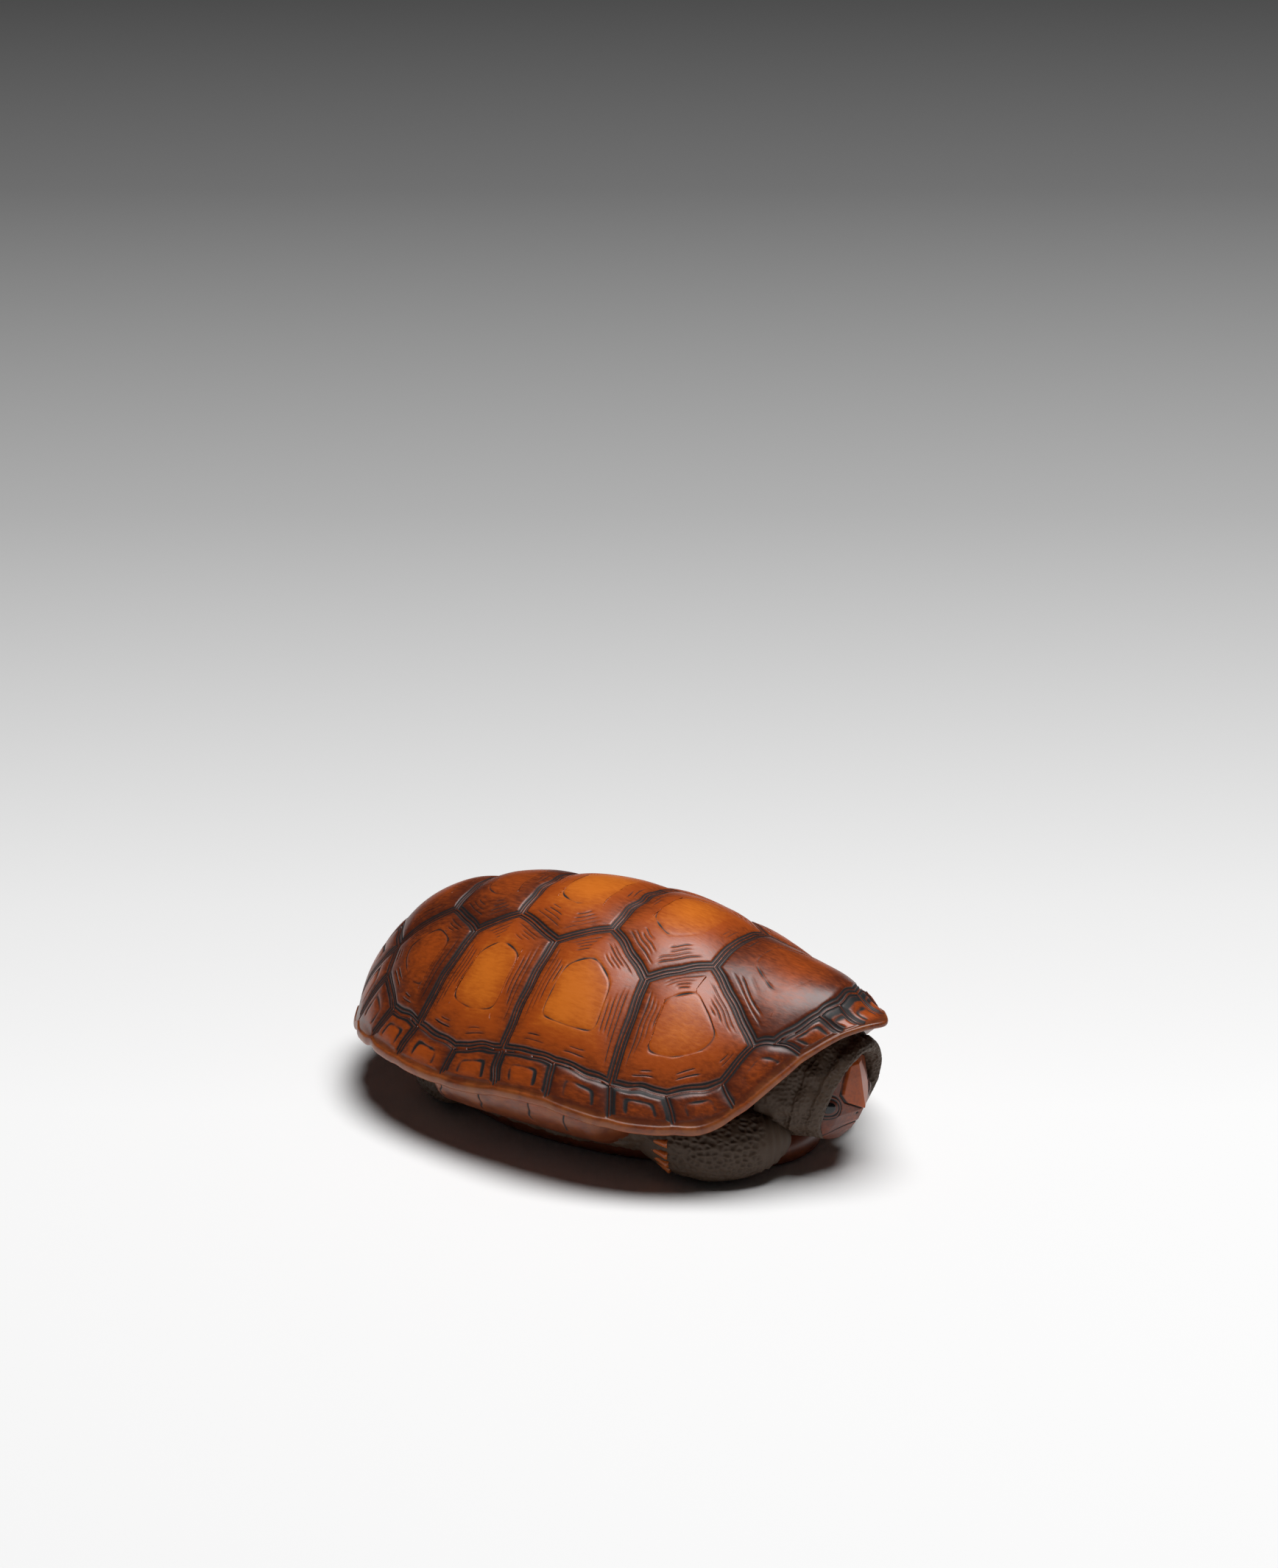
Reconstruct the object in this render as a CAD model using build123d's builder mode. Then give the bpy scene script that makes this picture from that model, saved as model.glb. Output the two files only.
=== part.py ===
"""A carved boxwood turtle, drawn into its shell and resting on its belly plate.

The frame is +X towards the head, +Z up, with the origin on the table under the middle of the shell.
All sizes are millimetres. Shares of a place along and across the turtle are of the shell's half length
and half width, and shares of a height are of the rim's height.
"""

import math
import os

from build123d import *

# Shell
shell_half_length = 24.0
shell_half_width = 15.7
dome_height = 11.6
rim_height = 6.9
nuchal_rise = 6.0
tail_drop = 2.2
lip_thickness = 1.1
front_flare_share = 0.1
end_flare_share = 0.37
front_outline_power = 1.0
rear_outline_power = 0.64
dome_lean_share = 0.02
front_dome_power = 0.68
rear_dome_power = 0.54
nuchal_start_share = 0.43
tail_start_share = 0.6
shell_station_shares = (-0.995, -0.97, -0.9, -0.75, -0.5, -0.2, 0.1, 0.4, 0.62, 0.8, 0.92, 0.97, 0.99)

# Seams between the scutes, grooves that stop short of the corners where they meet
seam_radius = 0.8
seam_depth = 0.32
seam_setback = 1.0
seam_point_shares = (0.0, 0.25, 0.5, 0.75, 1.0)
seam_corner_shares = {
    "v1_v2": (0.446, 0.243),
    "v2_side": (0.276, 0.465),
    "v2_v3": (0.08, 0.294),
    "v3_side": (-0.087, 0.428),
    "v3_v4": (-0.278, 0.3),
    "v4_side": (-0.412, 0.398),
    "v4_v5": (-0.555, 0.254),
    "c1_front": (0.681, 0.445),
    "m4_m5": (0.483, 0.768),
    "m5_m6": (0.304, 0.857),
    "m7_m8": (-0.111, 0.861),
    "m9_m10": (-0.488, 0.754),
    "m12_m13": (-0.745, 0.353),
}
# Each run goes from corner to corner down one side of the shell
seam_runs = (
    ("v1_v2", "v2_side", "v2_v3", "v3_side", "v3_v4", "v4_side", "v4_v5", "m12_m13"),
    ("v1_v2", "c1_front", "m4_m5", "m5_m6", "m7_m8", "m9_m10", "m12_m13"),
    ("v2_side", "m5_m6"),
    ("v3_side", "m7_m8"),
    ("v4_side", "m9_m10"),
)
ridge_corners = ("v1_v2", "v2_v3", "v3_v4", "v4_v5")

# Belly plate, set in from the shell's rim all round
plastron_front_setback = 6.7
plastron_rear_setback = 6.0
plastron_side_setback = 5.0
plastron_thickness = 2.6
plastron_edge_radius = 1.0
plastron_front_shares = ((1.0, 0.0), (0.96, 0.4), (0.86, 0.66), (0.68, 0.77), (0.48, 0.84), (0.28, 0.97))
plastron_middle_shares = ((0.0, 1.0),)
plastron_rear_shares = ((0.3, 0.97), (0.5, 0.86), (0.66, 0.76), (0.86, 0.58), (0.99, 0.3), (0.95, 0.0))

# Bridges that carry the shell on the belly plate
bridge_front_share = 0.28
bridge_rear_share = 0.4
bridge_thickness = 4.5
bridge_setback = 0.5
bridge_station_shares = (0.0, 0.3, 0.65, 1.0)
bridge_foot_shares = (0.86, 0.97, 1.0, 0.88)

# Cord channel through the belly plate
cord_hole_radius = 1.7
knot_hole_radius = 2.3
cord_hole_front = 3.5
knot_hole_rear = 6.5
cord_channel_depth = 3.4
cord_channel_clearance = 0.2

# Soft body between the shells
rim_overhang = 3.4
body_front_setback = 0.3
body_rear_share = 0.8
body_bulge_share = 0.12
body_station_shares = (-1.0, -0.9, -0.7, -0.4, 0.0, 0.4, 0.7, 0.88, 1.0)

# Head, drawn back into a roll of neck skin
head_front_share = 0.942
chin_clearance = 0.6
head_length = 8.0
head_half_width = 4.3
head_half_height = 3.8
snout_droop = 1.5
head_station_shares = (0.0, 0.35, 0.6, 0.78, 0.9, 0.97, 1.0)
head_radius_shares = (0.95, 1.0, 0.94, 0.78, 0.55, 0.32, 0.16)
collar_clearance = 0.7
collar_roll_radius = 1.7
collar_setback = 3.6

# Eyes, pegs with a domed end let into the sides of the head
eye_radius = 0.62
eye_length = 1.5
eye_dome_radius = 0.4
eye_setback = 2.1
eye_lift = 0.7
eye_seat_share = 0.56
eye_turn_share = 0.3

# Forelegs, folded back along the front of the shell
foreleg_front_setback = 4.8
foreleg_start_share = 0.32
foreleg_end_shares = (0.342, 0.69)
foreleg_height_share = 0.5
foreleg_bow = 1.4
foreleg_half_width = 2.7
foreleg_half_height = 2.9
foreleg_station_shares = (0.0, 0.06, 0.2, 0.42, 0.64, 0.82, 0.95, 1.0)
foreleg_radius_shares = (0.3, 0.58, 0.88, 1.0, 0.94, 0.76, 0.5, 0.3)

# Hind legs, folded under the back of the shell
hind_leg_start_shares = (-0.425, 0.68)
hind_leg_end_shares = (-0.77, 0.38)
hind_leg_height_share = 0.5
hind_leg_bow = 1.2
hind_leg_half_width = 2.5
hind_leg_half_height = 2.3
hind_leg_station_shares = (0.0, 0.08, 0.25, 0.5, 0.75, 0.93, 1.0)
hind_leg_radius_shares = (0.3, 0.6, 0.9, 1.0, 0.86, 0.5, 0.25)

# Tail, curled to one side under the back rim
tail_root_share = 0.704
tail_reach_share = 0.904
tail_sweep_share = 0.37
tail_height_share = 0.47
tail_root_radius = 1.9
tail_tip_radius = 0.55
tail_turn_degrees = 110
tail_station_shares = (0.0, 0.25, 0.5, 0.75, 1.0)

# Sizes that follow from those above
plastron_front = shell_half_length - plastron_front_setback
plastron_rear = shell_half_length - plastron_rear_setback
plastron_half_width = shell_half_width - plastron_side_setback
head_front = shell_half_length * head_front_share
head_height = plastron_thickness + chin_clearance + head_half_height
collar_radius = head_half_width + collar_clearance
body_front_share = (head_front - collar_setback - body_front_setback) / shell_half_length
foreleg_start_shares = ((head_front - foreleg_front_setback) / shell_half_length, foreleg_start_share)

os.makedirs("parts", exist_ok=True)


def half_width_at(share):
    """Half the shell's width at a share of its half length, from -1 at the tail to 1 at the head."""
    flare = 1 + front_flare_share * share + end_flare_share * share**2
    power = front_outline_power if share > 0 else rear_outline_power
    return shell_half_width * flare * (1 - share**2) ** power


def rim_height_at(share):
    """Height of the rim's top edge above the table."""
    rise = max(0.0, (share - nuchal_start_share) / (1 - nuchal_start_share))
    drop = max(0.0, (-share - tail_start_share) / (1 - tail_start_share))
    return rim_height + nuchal_rise * rise**2 - tail_drop * drop**2


def dome_rise_at(share):
    """Height of the shell's ridge above its rim."""
    power = front_dome_power if share > 0 else rear_dome_power
    return dome_height * (1 - dome_lean_share * share) * (1 - share**2) ** power


def cross_plane(x, height=0):
    """A plane across the turtle, with its own x to the turtle's left and its own y up."""
    return Plane(origin=(x, 0, height), x_dir=(0, 1, 0), z_dir=(1, 0, 0))


# Shell, a parabola across at every station with a blunt lip
with BuildPart() as carapace:
    for share in shell_station_shares:
        width = half_width_at(share)
        rim = rim_height_at(share)
        with BuildSketch(cross_plane(shell_half_length * share)):
            with BuildLine():
                Bezier((-width, rim), (0, rim + 2 * dome_rise_at(share)), (width, rim))
                lip = rim - lip_thickness
                Polyline((width, rim), (width, lip), (-width, lip), (-width, rim))
            make_face()
    loft()


# Belly plate, flat underneath, with the two mouths of the cord channel
def plastron_edge():
    """The left edge of the belly plate from its front to its back, as points."""
    front = [(x * plastron_front, y * plastron_half_width) for x, y in plastron_front_shares]
    middle = [(x * plastron_front, y * plastron_half_width) for x, y in plastron_middle_shares]
    rear = [(-x * plastron_rear, y * plastron_half_width) for x, y in plastron_rear_shares]
    return front + middle + rear


with BuildPart() as plastron:
    with BuildSketch():
        with BuildLine():
            Spline(*plastron_edge())
            mirror(about=Plane.XZ)
        make_face()
    extrude(amount=plastron_thickness)
    fillet(plastron.edges().group_by(Axis.Z)[0], plastron_edge_radius)
    with Locations((cord_hole_front, 0, 0)):
        Hole(cord_hole_radius)
    with Locations((-knot_hole_rear, 0, 0)):
        Hole(knot_hole_radius)


# Bridges, which carry the shell on the belly plate
def bridge(side):
    """One bridge, sloping in from under the rim to the belly plate's edge."""
    with BuildPart() as piece:
        for share, foot_share in zip(bridge_station_shares, bridge_foot_shares):
            along_share = -bridge_rear_share + (bridge_front_share + bridge_rear_share) * share
            top = rim_height_at(along_share)
            head_edge = half_width_at(along_share) - bridge_setback
            foot_edge = plastron_half_width * foot_share
            corners = (
                (side * head_edge, top),
                (side * foot_edge, plastron_thickness),
                (side * (foot_edge - bridge_thickness), plastron_thickness),
                (side * (head_edge - bridge_thickness), top),
            )
            with BuildSketch(cross_plane(shell_half_length * along_share)):
                with BuildLine():
                    Polyline(*corners, close=True)
                make_face()
        loft()
        add(carapace.part, mode=Mode.SUBTRACT)
    return piece.part


bridge_left = bridge(1)
bridge_right = bridge(-1)


# Eyes and head
def head_centre_at(share):
    """Height of the middle of the head, at a share of its length from the neck."""
    return head_height - snout_droop * share**2


def eye(side):
    """One inlaid eye, a short peg that stands a little proud of the side of the head."""
    height = head_centre_at(1 - eye_setback / head_length) + eye_lift
    seat = (head_front - eye_setback, side * head_half_width * eye_seat_share, height)
    with BuildPart() as piece:
        with BuildSketch(Plane(origin=seat, x_dir=(0, 0, 1), z_dir=(eye_turn_share, side, 0))):
            Circle(eye_radius)
        extrude(amount=eye_length)
        outer_face = piece.faces().sort_by(Axis.Y)[-1 if side > 0 else 0]
        fillet(outer_face.edges(), eye_dome_radius)
    return piece.part


eye_left = eye(1)
eye_right = eye(-1)

with BuildPart() as head:
    for share, radius_share in zip(head_station_shares, head_radius_shares):
        with BuildSketch(cross_plane(head_front - head_length * (1 - share), head_centre_at(share))):
            Ellipse(head_half_width * radius_share, head_half_height * radius_share)
    loft()
    for piece in (eye_left, eye_right, carapace.part, plastron.part):
        add(piece, mode=Mode.SUBTRACT)


# Folded limbs
def limb_plane(start_shares, end_shares, bow, height, share, side):
    """A plane across a folded limb, at a share of its bowed line from start to end."""
    start = Vector(shell_half_length * start_shares[0], side * shell_half_width * start_shares[1], height)
    end = Vector(shell_half_length * end_shares[0], side * shell_half_width * end_shares[1], height)
    along = end - start
    outward = along.cross(Vector(0, 0, 1)).normalized()
    if outward.Y * side < 0:
        outward = -outward
    origin = start + along * share + outward * (4 * bow * share * (1 - share))
    tangent = along + outward * (4 * bow * (1 - 2 * share))
    return Plane(origin=origin, x_dir=tangent.cross(Vector(0, 0, 1)), z_dir=tangent)


def foreleg(side):
    """One foreleg, its paw pointing back along the side."""
    height = rim_height * foreleg_height_share
    with BuildPart() as piece:
        for share, radius_share in zip(foreleg_station_shares, foreleg_radius_shares):
            plane = limb_plane(foreleg_start_shares, foreleg_end_shares, foreleg_bow, height, share, side)
            with BuildSketch(plane):
                Ellipse(foreleg_half_width * radius_share, foreleg_half_height * radius_share)
        loft()
        for neighbour in (carapace.part, plastron.part, bridge_left, bridge_right, head.part):
            add(neighbour, mode=Mode.SUBTRACT)
    return piece.part


def hind_leg(side):
    """One hind leg, its sole turned back under the rim."""
    height = rim_height * hind_leg_height_share
    with BuildPart() as piece:
        for share, radius_share in zip(hind_leg_station_shares, hind_leg_radius_shares):
            plane = limb_plane(hind_leg_start_shares, hind_leg_end_shares, hind_leg_bow, height, share, side)
            with BuildSketch(plane):
                Ellipse(hind_leg_half_width * radius_share, hind_leg_half_height * radius_share)
        loft()
        for neighbour in (carapace.part, plastron.part, bridge_left, bridge_right):
            add(neighbour, mode=Mode.SUBTRACT)
    return piece.part


foreleg_left = foreleg(1)
foreleg_right = foreleg(-1)
hind_leg_left = hind_leg(1)
hind_leg_right = hind_leg(-1)


# Tail
def tail_plane(share):
    """A plane across the tail, at a share of its curl."""
    full_turn = math.radians(tail_turn_degrees)
    turn = full_turn * share
    back = shell_half_length * (tail_reach_share - tail_root_share)
    sideways = shell_half_width * tail_sweep_share / (1 - math.cos(full_turn))
    root = Vector(-shell_half_length * tail_root_share, 0, rim_height * tail_height_share)
    origin = root + Vector(-back * math.sin(turn), sideways * (1 - math.cos(turn)), 0)
    tangent = Vector(-back * math.cos(turn), sideways * math.sin(turn), 0)
    return Plane(origin=origin, x_dir=tangent.cross(Vector(0, 0, 1)), z_dir=tangent)


with BuildPart() as tail:
    for share in tail_station_shares:
        with BuildSketch(tail_plane(share)):
            Circle(tail_root_radius + (tail_tip_radius - tail_root_radius) * share)
    loft()
    for piece in (carapace.part, plastron.part, hind_leg_left, hind_leg_right):
        add(piece, mode=Mode.SUBTRACT)

# Roll of neck skin round the head
with BuildPart() as neck_collar:
    with Locations(cross_plane(head_front - collar_setback, head_height)):
        Torus(collar_radius, collar_roll_radius)
    split(bisect_by=Plane.XY.offset(plastron_thickness), keep=Keep.TOP)
    for piece in (carapace.part, head.part, eye_left, eye_right, foreleg_left, foreleg_right):
        add(piece, mode=Mode.SUBTRACT)

# Soft body, which fills what the shells and limbs leave
with BuildPart() as body:
    for share in body_station_shares:
        along_share = share * (body_front_share if share > 0 else body_rear_share)
        width = half_width_at(along_share) - rim_overhang
        top = rim_height_at(along_share)
        bulge = width * (1 + body_bulge_share)
        middle = (plastron_thickness + top) / 2
        with BuildSketch(cross_plane(shell_half_length * along_share)):
            with BuildLine():
                Line((-width, plastron_thickness), (width, plastron_thickness))
                ThreePointArc((width, plastron_thickness), (bulge, middle), (width, top))
                Line((width, top), (-width, top))
                ThreePointArc((-width, top), (-bulge, middle), (-width, plastron_thickness))
            make_face()
    loft()
    for piece in (carapace.part, bridge_left, bridge_right, head.part, eye_left, eye_right, neck_collar.part):
        add(piece, mode=Mode.SUBTRACT)
    for piece in (tail.part, foreleg_left, foreleg_right, hind_leg_left, hind_leg_right):
        add(piece, mode=Mode.SUBTRACT)
    with BuildSketch(Plane.XY.offset(plastron_thickness)):
        with Locations(((cord_hole_front - knot_hole_rear) / 2, 0)):
            channel_width = 2 * (cord_hole_radius + cord_channel_clearance)
            SlotCenterToCenter(cord_hole_front + knot_hole_rear, channel_width)
    extrude(amount=cord_channel_depth, mode=Mode.SUBTRACT)


# Seams, cut into the shell once its neighbours have been fitted to it
def seam_corner(name, side):
    """A corner where seams meet, in plan."""
    along, across = seam_corner_shares[name]
    return Vector(along * shell_half_length, side * across * shell_half_width)


def dome_height_at(x, y):
    """Height of the shell's dome over a place in plan."""
    share = x / shell_half_length
    return rim_height_at(share) + dome_rise_at(share) * (1 - (y / half_width_at(share)) ** 2)


def over_dome(place):
    """The middle of a seam's cutter over a place in plan."""
    step = shell_half_length / 1000
    height = dome_height_at(place.X, place.Y)
    slope_along = (dome_height_at(place.X + step, place.Y) - height) / step
    slope_across = (dome_height_at(place.X, place.Y + step) - height) / step
    outward = Vector(-slope_along, -slope_across, 1).normalized()
    return Vector(place.X, place.Y, height) + outward * (seam_radius - seam_depth)


def seam(start, end):
    """The cutter of one seam, a bent rod that sinks into the dome."""
    run = end - start
    setback = run.normalized() * seam_setback
    places = [start + setback + (run - setback * 2) * share for share in seam_point_shares]
    with BuildPart() as cutter:
        with BuildLine() as path:
            Spline(*[over_dome(place) for place in places])
        with BuildSketch(path.line ^ 0):
            Circle(seam_radius)
        sweep()
    return cutter.part


seams = [seam(seam_corner(name, -1), seam_corner(name, 1)) for name in ridge_corners]
for side in (-1, 1):
    for corners in seam_runs:
        for start, end in zip(corners, corners[1:]):
            seams.append(seam(seam_corner(start, side), seam_corner(end, side)))
with BuildPart() as grooved_carapace:
    add(carapace.part)
    for cutter in seams:
        add(cutter, mode=Mode.SUBTRACT)

pieces = {
    "carapace": grooved_carapace.part,
    "plastron": plastron.part,
    "bridge_left": bridge_left,
    "bridge_right": bridge_right,
    "body": body.part,
    "head": head.part,
    "eye_left": eye_left,
    "eye_right": eye_right,
    "neck_collar": neck_collar.part,
    "foreleg_left": foreleg_left,
    "foreleg_right": foreleg_right,
    "hind_leg_left": hind_leg_left,
    "hind_leg_right": hind_leg_right,
    "tail": tail.part,
}
for name, piece in pieces.items():
    piece.label = name
    export_step(piece, f"parts/{name}.step")
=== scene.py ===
"""A carved boxwood turtle, drawn into its shell, dressed around its solid model.

Lengths are in millimetres until a mesh is made. +X points to the head, +Y to the turtle's left and +Z up.
"""

import math

import bmesh
import bpy
import numpy as np
from bpy.props import FloatProperty, FloatVectorProperty, PointerProperty
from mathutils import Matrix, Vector


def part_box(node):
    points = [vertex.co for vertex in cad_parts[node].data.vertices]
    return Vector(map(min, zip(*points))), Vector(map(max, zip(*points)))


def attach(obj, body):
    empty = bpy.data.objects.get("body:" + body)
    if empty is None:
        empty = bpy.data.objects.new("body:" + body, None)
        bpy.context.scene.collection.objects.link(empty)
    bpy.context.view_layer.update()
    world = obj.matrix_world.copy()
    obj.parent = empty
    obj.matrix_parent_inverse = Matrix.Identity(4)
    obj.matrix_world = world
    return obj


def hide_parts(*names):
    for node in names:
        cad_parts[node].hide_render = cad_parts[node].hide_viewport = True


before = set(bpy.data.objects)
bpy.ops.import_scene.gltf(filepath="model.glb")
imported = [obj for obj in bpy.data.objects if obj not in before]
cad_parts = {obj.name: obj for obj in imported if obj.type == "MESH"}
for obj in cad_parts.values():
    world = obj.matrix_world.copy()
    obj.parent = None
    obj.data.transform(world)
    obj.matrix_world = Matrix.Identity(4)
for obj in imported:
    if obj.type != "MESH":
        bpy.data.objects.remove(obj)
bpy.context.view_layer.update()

bl_info = {
    "name": "Carved Boxwood Turtle",
    "version": (1, 0, 0),
    "blender": (4, 5, 0),
    "location": "3D View > Sidebar > Turtle",
    "description": "Builds a carved boxwood turtle around its solid model",
    "category": "Object",
}

MM = 0.001
RIGHT = -1
LEFT = 1
sides = ((RIGHT, "right"), (LEFT, "left"))


def node_box(node):
    """Lowest and highest corner of a solid, in millimetres."""
    low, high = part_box(node)
    return np.array(low) / MM, np.array(high) / MM


# Shell form, read from the carapace's box
shell_low, shell_high = node_box("carapace")
shell_length = (shell_high[0] - shell_low[0]) * 0.5038
shell_width = (shell_high[1] - shell_low[1]) * 0.498
ridge_level = shell_high[2] * 0.373
ridge_rise = shell_high[2] * 0.324
dome_height = shell_high[2] * 0.627
rim_level = shell_high[2] * 0.319
bridge_rise = shell_high[2] * 0.06
nuchal_rise = shell_high[2] * 0.39
tail_drop = shell_high[2] * 0.119
front_flare = 0.1
end_flare = 0.37
front_outline_power = 1.0
rear_outline_power = 0.64
dome_lean = 0.02
front_dome_power = 0.68
rear_dome_power = 0.54
ridge_start = 0.43
nuchal_start = 0.58
nuchal_end = 0.98
tail_start = 0.6
beak_start = 0.72
beak_end = 0.94
beak_pinch = 0.34
beak_radius = 0.6
beak_hollow = 0.95
lip_inset = 0.2
lip_drop = 0.8
beak_lip_share = 0.6
lip_underside_shares = (0.84, 0.74)
lip_steps = 9
lip_wear = (0.45, 0.55)
underside_steps = (0.12, 0.3, 0.6, 1.0)
underside_tone = 0.12
margin_drop = 1.6
scute_thickness = 1.2
seam_spacing = 0.16
seam_waver = 0.13
bridge_rise_place = 0.05
bridge_rise_width = 0.24
hollow_start = beak_start + 0.1
hollow_end = beak_end + 0.03
shell_end = 0.998
rim_notch = 0.04
rear_notch = 0.1
rear_notch_range = (0.55, 0.8)
rim_notch_width = 0.7
rim_samples = 400

# Seam junctions of one side, as shares of the shell's half length and half width
junction_shares = {
    "v1_v2": (0.446, 0.243),
    "v2_side": (0.276, 0.465),
    "v2_v3": (0.08, 0.294),
    "v3_side": (-0.087, 0.428),
    "v3_v4": (-0.278, 0.3),
    "v4_side": (-0.412, 0.398),
    "v4_v5": (-0.555, 0.254),
    "nuchal": (0.856, 0.085),
    "m1_m2": (0.829, 0.2),
    "m2_m3": (0.74, 0.4),
    "c1_front": (0.681, 0.445),
    "m3_m4": (0.628, 0.606),
    "m4_m5": (0.483, 0.768),
    "m5_m6": (0.304, 0.857),
    "m6_m7": (0.1, 0.881),
    "m7_m8": (-0.111, 0.861),
    "m8_m9": (-0.306, 0.845),
    "m9_m10": (-0.488, 0.754),
    "m10_m11": (-0.628, 0.659),
    "m11_m12": (-0.73, 0.485),
    "m12_m13": (-0.745, 0.353),
    "pygal": (-0.83, 0.14),
}
# Where each seam between two marginals meets the rim, as a share of the half length
rim_shares = {
    "nuchal": 0.966,
    "m1_m2": 0.917,
    "m2_m3": 0.83,
    "m3_m4": 0.693,
    "m4_m5": 0.536,
    "m5_m6": 0.336,
    "m6_m7": 0.113,
    "m7_m8": -0.096,
    "m8_m9": -0.329,
    "m9_m10": -0.542,
    "m10_m11": -0.701,
    "m11_m12": -0.84,
    "m12_m13": -0.93,
    "pygal": -0.984,
}
margin_order = ("nuchal", "m1_m2", "m2_m3", "c1_front", "m3_m4", "m4_m5", "m5_m6", "m6_m7", "m7_m8",
                "m8_m9", "m9_m10", "m10_m11", "m11_m12", "m12_m13", "pygal")
rim_order = tuple(rim_shares)
ridge_names = ("v1_v2", "v2_side", "v2_v3", "v3_side", "v3_v4", "v4_side", "v4_v5", "c1_front", "m12_m13")

# Corners of each scute, from one side of the ridge, and how bright its wood is
vertebral_corners = {
    "v1": (("v1_v2", "c1_front", "m2_m3", "m1_m2", "nuchal"), 0.32),
    "v2": (("v2_v3", "v2_side", "v1_v2"), 0.84),
    "v3": (("v3_v4", "v3_side", "v2_v3"), 0.95),
    "v4": (("v4_v5", "v4_side", "v3_v4"), 0.38),
    "v5": (("pygal", "m12_m13", "v4_v5"), 0.36),
}
costal_corners = {
    "c1": (("v1_v2", "c1_front", "m3_m4", "m4_m5", "m5_m6", "v2_side"), 0.7),
    "c2": (("v2_side", "m5_m6", "m6_m7", "m7_m8", "v3_side", "v2_v3"), 0.92),
    "c3": (("v3_side", "m7_m8", "m8_m9", "m9_m10", "v4_side", "v3_v4"), 0.84),
    "c4": (("v4_side", "m9_m10", "m10_m11", "m11_m12", "m12_m13", "v4_v5"), 0.42),
}
marginal_tones = (0.46, 0.34, 0.27, 0.25, 0.27, 0.31, 0.37, 0.43, 0.45, 0.43, 0.37, 0.33, 0.31)
end_tone = 0.42

# Limbs: where each starts and ends in plan on the left side, how far it bows out and its half sizes. Then the
# shares of its length where its folds end, its pits fade and its worn end starts, how grey its skin is (kept
# low on the hind legs as painted shade), the first and last claw as shares of a turn round it with their
# count, and its rows and columns of points
foreleg_form = {
    "start": (17.8, 3.9), "end": (7.0, 9.8), "bow": 1.7, "level": 3.3, "half": (2.4, 3.0),
    "folded": 0.16, "scaled": 0.62, "stretched": 0.76, "dryness_and_shade": 0.9,
    "claws": (-0.16, 0.1, 5), "mesh": (190, 210)}
# Painted shade: the hind legs' skin is kept near black, standing in for the shadow under the back of the
# shell
hind_leg_form = {
    "start": (-9.4, 8.6), "end": (-16.6, 2.9), "bow": 0.6, "level": 2.4, "half": (2.0, 2.0),
    "folded": 0.12, "scaled": 0.66, "stretched": 0.8, "dryness_and_shade": 0.2,
    "claws": (-0.18, 0.08, 4), "mesh": (160, 180)}
claw_sides = 18
claw_rings = 8
claw_taper = 0.2
claw_values = {"tone": 0.62, "heart": 0.8, "wear": 0.5}
claw_root_share = 0.72
claw_tip_share = 0.95
claw_sink_share = 0.97
tail_root = (-16.9, 0.0, 3.2)
tail_sweep = (4.8, 4.3)
tail_turn = math.radians(110)
tail_radii = (1.9, 0.5)
tail_fold = 0.06
tail_fold_pitch = 0.09
tail_tip = 0.25
tail_mesh = (110, 72)
body_mesh = (28, 640)
body_middle = -0.3
body_reach = 18.7
body_inset = 3.3
body_foot = 2.2
body_height = 4.6
body_pull = 0.1
body_fold = 0.02
body_fold_squeeze = 0.35
body_wrinkle = 0.012
body_values = {"heart": 0.45, "tone": 0.2}
tail_values = {"heart": 0.8, "tone": 0.7}
tail_wear = 0.7
hood_values = {"heart": 0.75, "tone": 0.14}
limb_fold = 0.035
limb_fold_pitch = 0.05
limb_uneven = 0.02
# Size and depth of the pits in each kind of skin, as shares of the sizes that a user sets
skin_shares = {"limb": (1.0, 1.0), "body": (0.8, 0.7), "tail": (0.9, 0.8), "hood": (0.72, 0.6)}
# Unevenness: the length of its waves in millimetres, and the seed that fixes it
ripples = {
    "seam": (3.2, 5), "lip": (3.0, 41), "limb": (3.5, 61), "body_fold": (1.6, 71), "body_wrinkle": (0.8, 73),
    "hood_fold": (4.0, 81), "hood_wrinkle": (1.1, 83), "belly_middle": (5.0, 91), "belly_seam": (4.0, 93),
    "bridge_wall": (2.0, 95), "bridge_mark": (1.5, 97)}

# Head and hood: the face's front at each height, and the hood's outline from its inside to the body
face_middle = 5.9
face_half = (3.7, 3.5)
face_heights = (2.3, 3.4, 4.4, 5.3, 5.8, 7.0, 8.0, 9.0, 9.5)
face_fronts = (19.8, 20.9, 21.6, 22.0, 21.95, 21.75, 21.6, 21.4, 21.0)
plate_heights = (5.4, 6.2, 6.9, 8.0, 9.3)
plate_halves = (0.1, 1.5, 1.85, 1.4, 0.75)
eye_place = (3.0, 6.1)
hood_half = (4.2, 3.5)
hood_front = 20.9
hood_lean = 1.3
hood_crown = 1.3
hood_lift = 0.1
hood_fold = 0.018
hood_fold_count = 13
hood_fold_sway = 1.5
hood_fold_range = (0.98, 1.15)
hood_wrinkle = 0.012
hood_setbacks = (2.6, 1.2, 0.5, 0.12, 0.0, 0.08, 0.35, 0.75, 1.05, 1.3, 1.7, 2.15, 2.4, 2.8, 3.4, 4.2, 5.2)
hood_shares = (0.78, 0.8, 0.83, 0.88, 0.94, 1.0, 1.06, 1.1, 1.09, 1.13, 1.2, 1.24, 1.23, 1.29, 1.36, 1.42,
               1.46)
face_slope = 0.36
cheek_start = 2.3
cheek_width = 1.3
cheek_setback = 1.7
plate_lift = 0.2
brow_lift = 0.3
brow_radius = 0.75
face_line_depth = 0.1
face_line_width = 0.07
lid_radii = (0.72, 1.0)
mouth_height = 4.1
mouth_bend = 0.1
mouth_half = 2.9
nostril_place = (0.42, 5.05)
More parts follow.
